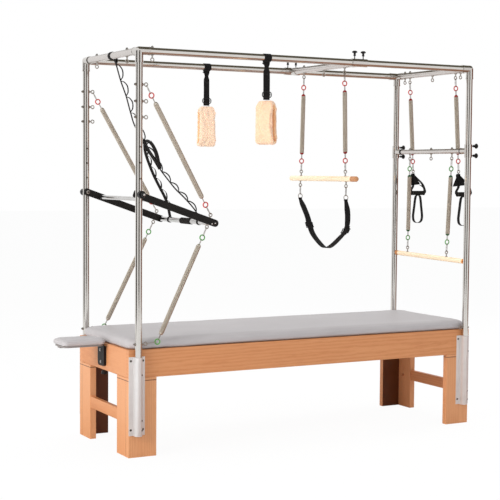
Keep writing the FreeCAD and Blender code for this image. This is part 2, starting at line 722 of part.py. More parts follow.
left_stretcher = board(
    "left_stretcher", "stretcher_thick", "bed_wide - 2 * leg_board", "stretcher_tall",
    "-bed_long / 2 + (rail_thick - stretcher_thick) / 4", "-bed_wide / 2 + leg_board",
    "stretcher_low", Y_AXIS,
)
right_stretcher = board(
    "right_stretcher", "stretcher_thick", "bed_wide - 2 * leg_board", "stretcher_tall",
    "bed_long / 2 - stretcher_thick - (rail_thick - stretcher_thick) / 4",
    "-bed_wide / 2 + leg_board", "stretcher_low", Y_AXIS,
)
stretchers = doc.addObject("Part::Compound", "end_stretchers")
stretchers.Links = [left_stretcher, right_stretcher]
keep(stretchers, "end_stretchers")

keep(
    block(
        "bed_deck", "bed_long - 2 * rail_thick", "bed_wide - 2 * rail_thick", "deck_thick",
        "-bed_long / 2 + rail_thick", "-bed_wide / 2 + rail_thick", "leg_tall + rail_tall - deck_thick",
    ),
    "bed_deck",
)
solid(
    "mattress",
    cushion(
        S.bed_long - 2 * S.mattress_inset, S.bed_wide - 2 * S.mattress_inset,
        S.mattress_thick, S.mattress_crown, S.mattress_corner, Vector(), bed_top + S.seat_gap,
    ),
)

# Tube canopy
post_foot = "(holder_low + 6)"
post_length = "canopy_height - fitting_web - " + post_foot
bolt_hole = "bolt_diameter / 2 + bolt_gap"


def post(label, side_x, side_y, eye_heights, pivot_holes):
    holes = []
    for index, height in enumerate(eye_heights):
        holes.append(
            rod(
                "%s_eye_hole_%d" % (label, index), bolt_hole, "2 * tube_diameter",
                "%d * post_span_long / 2 - tube_diameter" % side_x,
                "%d * post_span_wide / 2" % side_y, height, "X",
            )
        )
    for index in range(pivot_holes):
        holes.append(
            rod(
                "%s_pivot_hole_%d" % (label, index), "pivot_bolt_radius + fit_gap", "2 * tube_diameter",
                "%d * post_span_long / 2" % side_x,
                "%d * post_span_wide / 2 - tube_diameter" % side_y,
                "pivot_height + %d * pivot_pitch" % index, "Y",
            )
        )
    item = tube(
        label, "tube_diameter / 2", post_length,
        "%d * post_span_long / 2" % side_x, "%d * post_span_wide / 2" % side_y, post_foot, "Z", holes,
    )
    return keep(item, label)


left_eyes = ["eye_high", "eye_middle", "eye_lower", "foot_eye_left"]
right_eyes = ["foot_eye_right"]
post("post_front_left", -1, -1, left_eyes, 4)
post("post_rear_left", -1, 1, left_eyes, 4)
post("post_front_right", 1, -1, right_eyes, 0)
post("post_rear_right", 1, 1, right_eyes, 0)


def down_hole(name, x, y):
    return rod(
        name, bolt_hole, "2 * tube_diameter", x, y, "canopy_height - tube_diameter", "Z",
    )


keep(
    tube(
        "front_top_rail", "tube_diameter / 2", "post_span_long - 2 * fitting_web",
        "-post_span_long / 2 + fitting_web", "-post_span_wide / 2", "canopy_height", "X",
        [down_hole("front_rail_eye_hole", "-front_rail_eye", "-post_span_wide / 2")],
    ),
    "front_top_rail",
)
rear_outside = rod(
    "rear_top_rail_outside", "tube_diameter / 2", "post_span_long - 2 * fitting_web",
    "-post_span_long / 2 + fitting_web", "post_span_wide / 2", "canopy_height", "X",
)
rear_inside = rod(
    "rear_top_rail_inside", "tube_diameter / 2 - tube_wall", "post_span_long - 2 * fitting_web",
    "-post_span_long / 2 + fitting_web", "post_span_wide / 2", "canopy_height", "X",
)
keep(cut("rear_top_rail", rear_outside, [rear_inside]), "rear_top_rail")

left_tube = tube(
    "left_top_tube", "tube_diameter / 2", "post_span_wide - 2 * fitting_web",
    "-post_span_long / 2", "-post_span_wide / 2 + fitting_web", "canopy_height", "Y",
    [
        down_hole("left_tube_hole_rear", "-post_span_long / 2", "left_tube_eye_rear"),
        down_hole("left_tube_hole_front", "-post_span_long / 2", "-left_tube_eye_front"),
    ],
)
right_tube = tube(
    "right_top_tube", "tube_diameter / 2", "post_span_wide - 2 * fitting_web",
    "post_span_long / 2", "-post_span_wide / 2 + fitting_web", "canopy_height", "Y",
    [
        down_hole("right_tube_hole_1", "post_span_long / 2", "right_tube_hook_rear"),
        down_hole("right_tube_hole_2", "post_span_long / 2", "arm_eye_rear"),
        down_hole("right_tube_hole_3", "post_span_long / 2", "-right_tube_eye_middle"),
        down_hole("right_tube_hole_4", "post_span_long / 2", "-arm_eye_front"),
        down_hole("right_tube_hole_5", "post_span_long / 2", "-right_tube_hook_front"),
    ],
)
cross_tubes = doc.addObject("Part::Compound", "top_cross_tubes")
cross_tubes.Links = [left_tube, right_tube]
keep(cross_tubes, "top_cross_tubes")


def corner_fitting(side_x, side_y):
    """Three-way elbow with a socket for the post and both top tubes."""
    corner = Vector(side_x * post_x, side_y * post_y, S.canopy_height)
    outer = tube_r + S.fitting_wall
    shape = Part.makeSphere(outer, corner)
    ways = (Vector(0, 0, -1), Vector(-side_x, 0, 0), Vector(0, -side_y, 0))
    for way in ways:
        shape = shape.fuse(Part.makeCylinder(outer, S.fitting_reach, corner, way))
        collar = corner + way * (S.fitting_reach - S.collar_long)
        shape = shape.fuse(Part.makeCylinder(outer + S.collar_rise, S.collar_long, collar, way))
    for way in ways:
        socket = corner + way * (S.fitting_web - S.fit_gap)
        shape = shape.cut(Part.makeCylinder(tube_r + S.fit_gap, S.fitting_reach, socket, way))
    return shape.removeSplitter()


group("corner_fittings", [corner_fitting(x, y) for x in (-1, 1) for y in (-1, 1)])

# Extruded holders that carry the posts on the bed
holder = doc.addObject("PartDesign::Body", "post_holder_section")
section = sketch_on(holder, "XY_Plane", "post_holder_outline")
flange_in = S.post_span_wide / 2 - S.bed_wide / 2
flange_out = flange_in - S.holder_wall
side = tube_r + S.holder_wall
outline = [
    (-side, 0), (-side, flange_out), (-S.holder_flange, flange_out), (-S.holder_flange, flange_in),
    (S.holder_flange, flange_in), (S.holder_flange, flange_out), (side, flange_out), (side, 0),
]
for start, end in zip(outline, outline[1:]):
    section.addGeometry(Part.LineSegment(Vector(*start, 0), Vector(*end, 0)), False)
section.addGeometry(Part.Arc(Vector(side, 0, 0), Vector(0, -side, 0), Vector(-side, 0, 0)), False)
section.addGeometry(Part.Circle(Vector(), Z_AXIS, tube_r + S.fit_gap), False)
holder_pad = holder.newObject("PartDesign::Pad", "post_holder_pad")
holder_pad.Profile = section
holder_pad.setExpression("Length", ex("holder_tall"))
doc.recompute()
holders = []
for side_x in (-1, 1):
    for side_y in (-1, 1):
        copy = holder.Shape.copy()
        turn = Rotation() if side_y < 0 else Rotation(Z_AXIS, 180)
        copy.Placement = Placement(Vector(side_x * post_x, side_y * post_y, S.holder_low), turn)
        holders.append(copy)
group("post_holders", holders)

# Eyebolts that stay with the frame
bolts = []
for side_y in (-1, 1):
    for height in (S.eye_high, S.eye_middle, S.eye_lower, S.foot_eye_left):
        eye = Vector(-post_x + S.post_eye_reach, side_y * post_y, height)
        bolts.append(eyebolt(eye, Vector(-1, 0, 0), S.post_eye_reach - tube_r, S.tube_diameter))
    eye = Vector(post_x - S.post_eye_reach, side_y * post_y, S.foot_eye_right)
    bolts.append(eyebolt(eye, X_AXIS, S.post_eye_reach - tube_r, S.tube_diameter))
eye_z = S.canopy_height - S.eye_drop
tube_spots = [
    (-S.front_rail_eye, -post_y),
    (-post_x, S.left_tube_eye_rear),
    (-post_x, -S.left_tube_eye_front),
    (post_x, S.right_tube_hook_rear),
    (post_x, S.arm_eye_rear),
    (post_x, -S.right_tube_eye_middle),
    (post_x, -S.arm_eye_front),
    (post_x, -S.right_tube_hook_front),
]
for x, y in tube_spots:
    bolts.append(eyebolt(Vector(x, y, eye_z), Z_AXIS, S.eye_drop - tube_r, S.tube_diameter))
group("frame_eyebolts", bolts)

# Headrest on the left end of the bed
end_face = -S.bed_long / 2
slot_out = end_face - S.bracket_thick / 2 - S.stem_thick / 2
bracket = Part.makeBox(
    S.bracket_thick, S.bracket_wide, S.bracket_tall,
    Vector(end_face - S.bracket_thick, -S.bracket_wide / 2, S.bracket_low),
)
lower_edges = [
    edge for edge in bracket.Edges
    if abs(edge.CenterOfMass.z - S.bracket_low) < 1e-6
    and abs(abs(edge.CenterOfMass.y) - S.bracket_wide / 2) < 1e-6
]
bracket = bracket.makeFillet(S.bracket_corner, lower_edges)
stem_low = S.bracket_low + S.stem_floor
slot = Part.makeBox(
    S.stem_thick + 2 * S.stem_gap, S.stem_wide + 2 * S.stem_gap, S.bracket_tall,
    Vector(slot_out - S.stem_gap, -S.stem_wide / 2 - S.stem_gap, stem_low - S.stem_gap),
)
solid("headrest_bracket", bracket.cut(slot))
pad_high_x = end_face - S.headrest_from_bed
pad_low_x = pad_high_x - S.headrest_long
pad_middle = Vector((pad_high_x + pad_low_x) / 2, 0, 0)
solid(
    "headrest_pad",
    cushion(
        S.headrest_long, S.headrest_wide, S.headrest_thick, S.headrest_crown,
        S.headrest_corner, pad_middle, S.headrest_bottom,
    ),
)
board_low = S.headrest_bottom - S.seat_gap - S.headrest_board
board_long = S.headrest_long - 2 * S.headrest_board_inset
pad_board = Part.Face(
    rounded_outline(
        board_long, S.headrest_wide - 2 * S.headrest_board_inset, S.headrest_corner, pad_middle, board_low
    )
).extrude(Vector(0, 0, S.headrest_board))
stem = Part.makeBox(
    S.stem_thick, S.stem_wide, board_low - stem_low,
    Vector(slot_out, -S.stem_wide / 2, stem_low),
)
foot_long = slot_out + S.stem_thick - (pad_low_x + S.headrest_board_inset)
arm_plate = Part.makeBox(
    foot_long, S.stem_wide, S.stem_thick,
    Vector(slot_out + S.stem_thick - foot_long, -S.stem_wide / 2, board_low - S.stem_thick),
)
group("headrest_support", [pad_board, stem.fuse(arm_plate).removeSplitter()])

end_knob_top = S.leg_tall - S.end_knob_gap
end_knob_x = end_face + S.rail_thick / 2
solid(
    "headrest_knob",
    turned(
        [
            (-S.end_knob_tall, 0),
            (-S.end_knob_tall, S.end_knob_radius * 0.8),
            (-S.end_knob_tall * 0.8, S.end_knob_radius),
            (-S.end_knob_tall * 0.3, S.end_knob_radius * 0.94),
            (0, S.end_knob_radius * 0.6),
            (0, S.end_knob_bolt),
            (S.end_knob_gap + S.end_knob_bite, S.end_knob_bolt),
            (S.end_knob_gap + S.end_knob_bite, 0),
        ],
        Vector(end_knob_x, S.end_knob_side, end_knob_top),
        Z_AXIS,
    ),
)

# Trapeze slider on the top rails
slider_x = S.slider_from_middle
sleeve_r = tube_r + S.sleeve_wall


def tee_sleeve(centre, run, length, start, branch, tube_radius, holes):
    """A sleeve that slides along run, with a branch socket that holds a cross tube."""
    low = centre - run * start
    shape = Part.makeCylinder(sleeve_r, length, low, run)
    socket_r = tube_radius + S.branch_wall
    shape = shape.fuse(Part.makeCylinder(socket_r, S.branch_long, centre, branch))
    shape = shape.cut(Part.makeCylinder(tube_r + S.slide_gap, length, low, run))
    bed = centre + branch * (sleeve_r + 1)
    shape = shape.cut(Part.makeCylinder(tube_radius + S.fit_gap, S.branch_long, bed, branch))
    for spot, way in holes:
        shape = shape.cut(Part.makeCylinder(S.knob_stem_radius + S.fit_gap, 2 * sleeve_r, spot, way))
    return shape.removeSplitter()


sleeves = []
knob_seats = {}
for side_y, end_name in ((-1, "front"), (1, "rear")):
    centre = Vector(slider_x, side_y * post_y, S.canopy_height)
    spots = []
    for side_x, name in ((-1, "left"), (1, "right")):
        spot = centre + Vector(side_x * S.slider_knob_side, 0, 0)
        spots.append((spot, Z_AXIS))
        knob_seats["slider_knob_%s_%s" % (end_name, name)] = spot + Z_AXIS * sleeve_r
    sleeves.append(
        tee_sleeve(centre, X_AXIS, S.slider_long, S.slider_long / 2, Vector(0, -side_y, 0), tube_r, spots)
    )
group("slider_sleeves", sleeves)
for label, seat in knob_seats.items():
    solid(label, knob(seat + Z_AXIS * S.slide_gap, Z_AXIS))

cross_start = post_y - sleeve_r - 1
crossbar = Part.makeCylinder(tube_r, 2 * cross_start, Vector(slider_x, -cross_start, S.canopy_height), Y_AXIS)
crossbar = crossbar.cut(
    Part.makeCylinder(
        tube_r - S.tube_wall, 2 * cross_start, Vector(slider_x, -cross_start, S.canopy_height), Y_AXIS
    )
)
slider_bolts = []
for y in (-S.slider_eye_side, 0, S.slider_eye_side):
    hole = Part.makeCylinder(
        S.bolt_diameter / 2 + S.bolt_gap, 3 * tube_r, Vector(slider_x, y, S.canopy_height - 1.5 * tube_r)
    )
    crossbar = crossbar.cut(hole)
    slider_bolts.append(eyebolt(Vector(slider_x, y, eye_z), Z_AXIS, S.eye_drop - tube_r, S.tube_diameter))
group("slider_crossbar", [crossbar] + slider_bolts)

# Trapeze
trapeze_eye_z = S.trapeze_height + S.trapeze_eye_rise
strap_eye_z = S.trapeze_height - S.strap_eye_drop
spring_solids = []
trapeze_metal = []
bar_holes = []
for side_y in (-1, 1):
    top_eye = Vector(slider_x, side_y * S.slider_eye_side, eye_z)
    low_eye = Vector(slider_x, side_y * S.trapeze_eye_side, trapeze_eye_z)
    body, metal = hanging_spring(top_eye, low_eye, S.spring_radius)
    spring_solids.append(body)
    trapeze_metal += metal
    ring = eye_ring(low_eye, Z_AXIS)
    reach = S.trapeze_eye_rise - S.eye_radius + 1 - S.trapeze_radius / 2
    shank = Part.makeCylinder(
        S.bolt_diameter / 2, reach, low_eye - Z_AXIS * (S.eye_radius - 1), Vector(0, 0, -1)
    )
    trapeze_metal.append(ring.fuse(shank).removeSplitter())
    strap_eye = Vector(slider_x, side_y * S.strap_eye_side, strap_eye_z)
    ring = eye_ring(strap_eye, Z_AXIS)
    reach = S.strap_eye_drop - S.eye_radius + 1 - S.trapeze_radius / 2
    over_eye = strap_eye + Z_AXIS * (S.eye_radius - 1)
    lower = Part.makeCylinder(S.bolt_diameter / 2, reach, over_eye, Z_AXIS)
    trapeze_metal.append(ring.fuse(lower).removeSplitter())
    hole_r = S.bolt_diameter / 2 + S.fit_gap
    upper_hole = Vector(slider_x, side_y * S.trapeze_eye_side, S.trapeze_height + S.trapeze_radius / 2)
    bar_holes.append(Part.makeCylinder(hole_r, S.trapeze_radius, upper_hole, Z_AXIS))
    lower_hole = Vector(slider_x, side_y * S.strap_eye_side, S.trapeze_height - S.trapeze_radius / 2)
    bar_holes.append(Part.makeCylinder(hole_r, S.trapeze_radius, lower_hole, Vector(0, 0, -1)))
group("trapeze_springs", spring_solids)
group("trapeze_links", trapeze_metal)
round_end = S.trapeze_radius * 0.6
bar = turned(
    [
        (0, 0),
        (0, S.trapeze_radius - round_end),
        (round_end * 0.3, S.trapeze_radius - round_end * 0.3),
        (round_end, S.trapeze_radius),
        (S.trapeze_long - round_end, S.trapeze_radius),
        (S.trapeze_long - round_end * 0.3, S.trapeze_radius - round_end * 0.3),
        (S.trapeze_long, S.trapeze_radius - round_end),
        (S.trapeze_long, 0),
    ],
    Vector(slider_x, -S.trapeze_long / 2, S.trapeze_height),
    Y_AXIS,
)
for hole in bar_holes:
    bar = bar.cut(hole)
solid("trapeze_bar", bar)

# Foot strap under the trapeze
strap_solids = []
dee_z = strap_eye_z - S.dee_drop
rear_dee = Vector(slider_x, S.strap_eye_side, dee_z)
front_dee = Vector(slider_x, -S.strap_eye_side, dee_z)
for dee in (rear_dee, front_dee):
    eye = Vector(slider_x, dee.y, strap_eye_z)
    strap_solids.append(link_between(eye, dee))
    strap_solids.append(spring_ring(dee, Z_AXIS))
strap_route = [
    (222, -62), (170, -127), (116, -217), (36, -274), (-40, -304), (-114, -286), (-239, -211),
    (-275, -170), (-282, -110), (-274, -60),
]
end_drop = S.ring_radius + S.ring_wire / 2 + 2 * S.seat_gap + 0.5
spread = S.strap_eye_side / 260
strap_points = [rear_dee - Z_AXIS * end_drop]
strap_points += [Vector(slider_x, y * spread, dee_z + drop) for y, drop in strap_route]
strap_points.append(front_dee - Z_AXIS * end_drop)
strap_solids.append(ribbon(strap_points, S.strap_thick, S.strap_wide, X_AXIS))
buckle_off = S.strap_thick / 2 + S.seat_gap + S.buckle_rise + S.buckle_thick / 2
buckle_wide = S.strap_wide + 2 * S.buckle_rim
for first, second in ((2, 3), (7, 8)):
    toward = (strap_points[second] - strap_points[first]).normalize()
    under = toward.cross(X_AXIS)
    if under.z > 0:
        under = under * -1
    place = (strap_points[first] + strap_points[second]) * 0.5 + under * buckle_off
    frame = Part.makeBox(
        S.buckle_long, buckle_wide, S.buckle_thick,
        Vector(-S.buckle_long / 2, -buckle_wide / 2, -S.buckle_thick / 2),
    )
    frame.Placement = Placement(place, Rotation(toward, Vector(), under, "ZXY"))
    strap_solids.append(frame)
group("trapeze_strap", strap_solids)

# Roll-down crossbar on the right posts
sleeves = []
knob_seats = {}
for side_y, end_name in ((-1, "front"), (1, "rear")):
    centre = Vector(post_x, side_y * post_y, S.crossbar_height)
    spots = []
    for rise, name in ((S.crossbar_knob_up, "upper"), (-S.crossbar_knob_down, "lower")):
        spot = centre + Vector(0, 0, rise)
        spots.append((spot, X_AXIS))
        knob_seats["crossbar_knob_%s_%s" % (end_name, name)] = spot + X_AXIS * sleeve_r
    sleeves.append(
        tee_sleeve(
            centre, Z_AXIS, S.crossbar_sleeve_tall, S.crossbar_sleeve_tall / 2,
            Vector(0, -side_y, 0), S.crossbar_radius, spots,
        )
    )
group("crossbar_sleeves", sleeves)
for label, seat in knob_seats.items():
    solid(label, knob(seat + X_AXIS * S.slide_gap, X_AXIS))
cross_low = Vector(post_x, -cross_start, S.crossbar_height)
tube_mid = Part.makeCylinder(S.crossbar_radius, 2 * cross_start, cross_low, Y_AXIS)
inside_r = S.crossbar_radius - S.tube_wall
tube_mid = tube_mid.cut(Part.makeCylinder(inside_r, 2 * cross_start, cross_low, Y_AXIS))
crossbar_eye_z = S.crossbar_height - S.eye_drop
mid_bolts = []
for y in (-S.crossbar_eye_side, -S.crossbar_eye_middle, S.crossbar_eye_side):
    start = Vector(post_x, y, S.crossbar_height - 2 * S.crossbar_radius)
    tube_mid = tube_mid.cut(Part.makeCylinder(S.bolt_diameter / 2 + S.bolt_gap, 4 * S.crossbar_radius, start))
    mid_bolts.append(
        eyebolt(
            Vector(post_x, y, crossbar_eye_z), Z_AXIS, S.eye_drop - S.crossbar_radius, 2 * S.crossbar_radius
        )
    )
group("crossbar_tube", [tube_mid] + mid_bolts)

# Roll-down bar on two springs
tilt = math.radians(S.rolldown_slope)
along_bar = Vector(0, math.cos(tilt), math.sin(tilt))
above_bar = Vector(0, -math.sin(tilt), math.cos(tilt))
bar_middle = Vector(post_x, 0, S.rolldown_height)
bar_start = bar_middle - along_bar * (S.rolldown_long / 2)
deep = S.rolldown_radius - S.rolldown_groove_deep
groove = 2 * S.rolldown_groove_deep
rolldown = turned(
    [
        (0, 0),
        (0, S.rolldown_radius - 2),
        (2, S.rolldown_radius),
        (S.rolldown_groove - groove, S.rolldown_radius),
        (S.rolldown_groove, deep),
        (S.rolldown_groove + groove, S.rolldown_radius),
        (S.rolldown_long - S.rolldown_groove - groove, S.rolldown_radius),
        (S.rolldown_long - S.rolldown_groove, deep),
        (S.rolldown_long - S.rolldown_groove + groove, S.rolldown_radius),
        (S.rolldown_long - 2, S.rolldown_radius),
        (S.rolldown_long, S.rolldown_radius - 2),
        (S.rolldown_long, 0),
    ],
    bar_start,
    along_bar,
)
spring_solids = []
eye_pairs = (
    (S.crossbar_eye_side, S.rolldown_eye_rear),
    (-S.crossbar_eye_side, -S.rolldown_eye_front),
)
for top_y, low_along in eye_pairs:
    low_eye = bar_middle + along_bar * low_along + above_bar * S.rolldown_eye_rise
    top_eye = Vector(post_x, top_y, crossbar_eye_z)
    body, metal = hanging_spring(top_eye, low_eye, S.spring_radius)
    spring_solids.append(body)
    spring_solids += metal
    ring = eye_ring(low_eye, Z_AXIS)
    reach = S.rolldown_eye_rise - S.eye_radius + 1 - S.rolldown_radius / 2
    under_eye = low_eye - above_bar * (S.eye_radius - 1)
    shank = Part.makeCylinder(S.bolt_diameter / 2, reach, under_eye, above_bar * -1)
    spring_solids.append(ring.fuse(shank).removeSplitter())
    hole = bar_middle + along_bar * low_along + above_bar * (S.rolldown_radius / 2)
    rolldown = rolldown.cut(
        Part.makeCylinder(S.bolt_diameter / 2 + S.fit_gap, S.rolldown_radius, hole, above_bar)
    )
group("roll_down_springs", spring_solids)
solid("roll_down_bar", rolldown)

# Arm springs with their handles
lean = math.radians(S.arm_spring_lean)
arm_way = Vector(math.sin(lean), 0, -math.cos(lean))
for label, y in (("rear", S.arm_eye_rear), ("front", -S.arm_eye_front)):
    top_eye = Vector(post_x, y, eye_z)
    ring_low = top_eye + arm_way * S.arm_chain_long
    body, metal = hanging_spring(top_eye, ring_low, S.spring_radius)
    dee = wire_ring(ring_low, S.eye_radius, S.eye_wire, 16, arm_way, Y_AXIS)
    group("arm_spring_" + label, [body] + metal + [dee])
    grip_middle = ring_low + Vector(S.grip_out, 0, -S.grip_drop)
    half = S.grip_long / 2
    swing_r = (S.eye_radius + S.eye_wire / 2) / math.cos(math.pi / 16)
    tip = ring_low + Vector(0, 0, -(swing_r + S.seat_gap / 2))
    rise = S.grip_radius + 5
    below = S.handle_web_thick / 2
    outer = [
        tip + Vector(-6, 0, 0), tip + Vector(6, 0, 0),
        grip_middle + Vector(half + 6, 0, rise), grip_middle + Vector(half + 6, 0, -below),
        grip_middle + Vector(-half - 6, 0, -below), grip_middle + Vector(-half - 6, 0, rise),
    ]
    inner = [
        tip + Vector(0, 0, -9),
        grip_middle + Vector(half + 3, 0, rise - 2), grip_middle + Vector(half + 3, 0, below),
        grip_middle + Vector(-half - 3, 0, below), grip_middle + Vector(-half - 3, 0, rise - 2),
    ]
    web = Part.Face(Part.makePolygon(outer + outer[:1]))
    web = web.cut(Part.Face(Part.makePolygon(inner + inner[:1])))
    web.translate(Vector(0, -S.handle_web_wide / 2, 0))
    web = web.extrude(Vector(0, S.handle_web_wide, 0))
    grip = Part.makeCylinder(S.grip_radius, S.grip_long, grip_middle - X_AXIS * half, X_AXIS)
    passage = Part.makeBox(
        S.grip_long, S.handle_web_wide + 2 * S.seat_gap, S.handle_web_thick + 2 * S.seat_gap,
        grip_middle
        + Vector(-half, -S.handle_web_wide / 2 - S.seat_gap, -S.handle_web_thick / 2 - S.seat_gap),
    )
    grip = grip.cut(passage)
    loop_top = grip_middle.z - S.grip_radius - S.seat_gap
    loop_r = S.foot_loop_wide / 2
    loop_middle = Vector(grip_middle.x, y - S.handle_web_wide / 2, 0)
    rings = []
    for shrink in (0, S.handle_web_thick):
        radius = loop_r - shrink
        high = loop_top - loop_r
        low = loop_top - S.foot_loop_tall + loop_r
        edges = [
            Part.Arc(
                Vector(radius, 0, high), Vector(0, 0, high + radius), Vector(-radius, 0, high)
            ).toShape(),
            Part.LineSegment(Vector(-radius, 0, high), Vector(-radius, 0, low)).toShape(),
            Part.Arc(Vector(-radius, 0, low), Vector(0, 0, low - radius), Vector(radius, 0, low)).toShape(),
            Part.LineSegment(Vector(radius, 0, low), Vector(radius, 0, high)).toShape(),
        ]
        rings.append(Part.Face(Part.Wire(edges)))
    loop = rings[0].cut(rings[1])
    loop.translate(loop_middle)
    loop = loop.extrude(Vector(0, S.handle_web_wide, 0))
    group("arm_handle_" + label, [web, grip, loop])

# Push-through bar between the left posts
slope = math.radians(S.push_slope)
down_arm = Vector(math.cos(slope), 0, -math.sin(slope))
up_arm = Vector(math.sin(slope), 0, math.cos(slope))
arm_outer = post_y - tube_r - S.push_arm_from_post
arm_inner = arm_outer - S.push_arm_thick
half_arm = S.push_arm_wide / 2
arms = []
metal = []
eye_spots = {}


def arm_spot(side_y, along, up):
    """A point of an arm's outer face, along it from its pivot and up from its middle line."""
    pivot = Vector(-post_x, side_y * arm_outer, S.pivot_height)
    return pivot + down_arm * along + up_arm * up


for side_y in (-1, 1):
    pivot = arm_spot(side_y, 0, 0)
    corner = half_arm * 0.5
    side_end = S.push_arm_long
    tail = -S.push_arm_tail
    bulge = corner * (1 - math.sqrt(0.5))
    edges = [
        Part.LineSegment(
            arm_spot(side_y, tail + corner, half_arm), arm_spot(side_y, side_end, half_arm)
        ).toShape(),
        Part.Arc(
            arm_spot(side_y, side_end, half_arm),
            arm_spot(side_y, side_end + half_arm, 0),
            arm_spot(side_y, side_end, -half_arm),
        ).toShape(),
        Part.LineSegment(
            arm_spot(side_y, side_end, -half_arm), arm_spot(side_y, tail + corner, -half_arm)
        ).toShape(),
        Part.Arc(
            arm_spot(side_y, tail + corner, -half_arm),
            arm_spot(side_y, tail + bulge, -half_arm + bulge),
            arm_spot(side_y, tail, -half_arm + corner),
        ).toShape(),
        Part.LineSegment(
            arm_spot(side_y, tail, -half_arm + corner), arm_spot(side_y, tail, half_arm - corner)
        ).toShape(),
        Part.Arc(
            arm_spot(side_y, tail, half_arm - corner),
            arm_spot(side_y, tail + bulge, half_arm - bulge),
            arm_spot(side_y, tail + corner, half_arm),
        ).toShape(),
    ]
    arm = Part.Face(Part.Wire(edges)).extrude(Vector(0, -side_y * S.push_arm_thick, 0))
    pivot_way = Vector(0, -side_y, 0)
    hole_start = pivot - pivot_way * S.push_arm_thick
    arm = arm.cut(
        Part.makeCylinder(S.pivot_bolt_radius + S.fit_gap, 3 * S.push_arm_thick, hole_start, pivot_way)
    )
    inner_nut = nut(pivot + pivot_way * S.push_arm_thick, pivot_way, S.push_nut_wide, S.push_nut_tall)
    inner_nut = inner_nut.cut(
        Part.makeCylinder(S.pivot_bolt_radius + S.fit_gap, 4 * S.push_arm_thick, hole_start, pivot_way)
    )
    metal.append(inner_nut)
    bolt_line = arm_spot(side_y, S.push_eye_along, 0) + pivot_way * (S.push_arm_thick / 2)
    hole_r = S.bolt_diameter / 4 + S.bolt_gap
    arm = arm.cut(
        Part.makeCylinder(hole_r, 3 * half_arm, bolt_line - up_arm * (1.5 * half_arm), up_arm)
    )
    reach = S.push_eye_side - S.eye_radius + 1
    pin = Part.makeCylinder(S.bolt_diameter / 4, 2 * reach, bolt_line - up_arm * reach, up_arm)
    for hand in (1, -1):
        eye = bolt_line + up_arm * (S.push_eye_side * hand)
        eye_spots[(side_y, hand)] = eye
        pin = pin.fuse(eye_ring(eye, up_arm))
        base = bolt_line + up_arm * (half_arm * hand)
        reach_out = S.push_eye_side - half_arm - S.eye_radius + 1
        pin = pin.fuse(Part.makeCylinder(S.bolt_diameter / 2, reach_out, base, up_arm * hand))
    metal.append(pin.removeSplitter())
    arms.append(arm)
group("push_bar_arms", arms)
brace_middle = Vector(-post_x, -arm_inner, S.pivot_height) + down_arm * S.brace_from_pivot
end_middle = Vector(-post_x, -arm_inner, S.pivot_height) + down_arm * S.push_arm_long
for start, radius in ((brace_middle, S.brace_radius), (end_middle, S.end_tube_radius)):
    outside = Part.makeCylinder(radius, 2 * arm_inner, start, Y_AXIS)
    metal.append(outside.cut(Part.makeCylinder(radius - S.tube_wall, 2 * arm_inner, start, Y_AXIS)))
group("push_bar_tubes", metal)
grip_start = end_middle + Y_AXIS * (arm_inner - S.push_grip_long / 2)
grip = Part.makeCylinder(S.push_grip_radius, S.push_grip_long, grip_start, Y_AXIS)
solid(
    "push_bar_grip",
    grip.cut(Part.makeCylinder(S.end_tube_radius + S.fit_gap, S.push_grip_long, grip_start, Y_AXIS)),
)
for side_y, name in ((-1, "front"), (1, "rear")):
    seat = post_y + tube_r + S.fit_gap
    inward = seat - arm_inner + S.push_nut_tall + S.bolt_proud
    first = S.pivot_knob_long
    last = first + S.pivot_knob_end_long
    solid(
        "pivot_knob_" + name,
        turned(
            [
                (-inward, 0),
                (-inward, S.pivot_bolt_radius),
                (0, S.pivot_bolt_radius),
                (0, S.pivot_knob_radius * 0.8),
                (first * 0.1, S.pivot_knob_radius),
                (first * 0.85, S.pivot_knob_radius),
                (first, S.pivot_knob_radius * 0.85),
                (first, S.pivot_knob_end_radius),
                (last - 4, S.pivot_knob_end_radius),
                (last, S.pivot_knob_end_radius * 0.75),
                (last, 0),
            ],
            Vector(-post_x, side_y * seat, S.pivot_height),
            Vector(0, side_y, 0),
        ),
    )

# Springs between the posts and the push-through bar
push_solids = []
for side_y in (-1, 1):
    post_eye = Vector(-post_x + S.post_eye_reach, side_y * post_y, S.eye_high)
    arm_eye = eye_spots[(side_y, 1)]
    body, parts = hanging_spring(post_eye, arm_eye, S.leg_spring_radius)
    push_solids += [body] + parts
    foot_eye = Vector(-post_x + S.post_eye_reach, side_y * post_y, S.foot_eye_left)
    arm_low = eye_spots[(side_y, -1)]
    foot_ring = foot_eye + Vector(S.foot_chain_in, -side_y * 4, 7)
    aim = (foot_ring - arm_low).normalize()
    top_ring = arm_low + aim * S.ring_from_eye
    top_cap = top_ring + aim * S.cap_from_ring
    low_cap = foot_ring - aim * S.cap_from_ring
    body = spring_body(top_cap, low_cap, S.leg_spring_radius)
    body = body.fuse([hook_to(top_ring, top_cap), hook_to(foot_ring, low_cap)]).removeSplitter()
    push_solids.append(body)
    push_solids += [link_between(arm_low, top_ring), link_between(foot_eye, foot_ring)]
    push_solids += [spring_ring(top_ring, aim), spring_ring(foot_ring, aim)]
group("push_springs", push_solids)

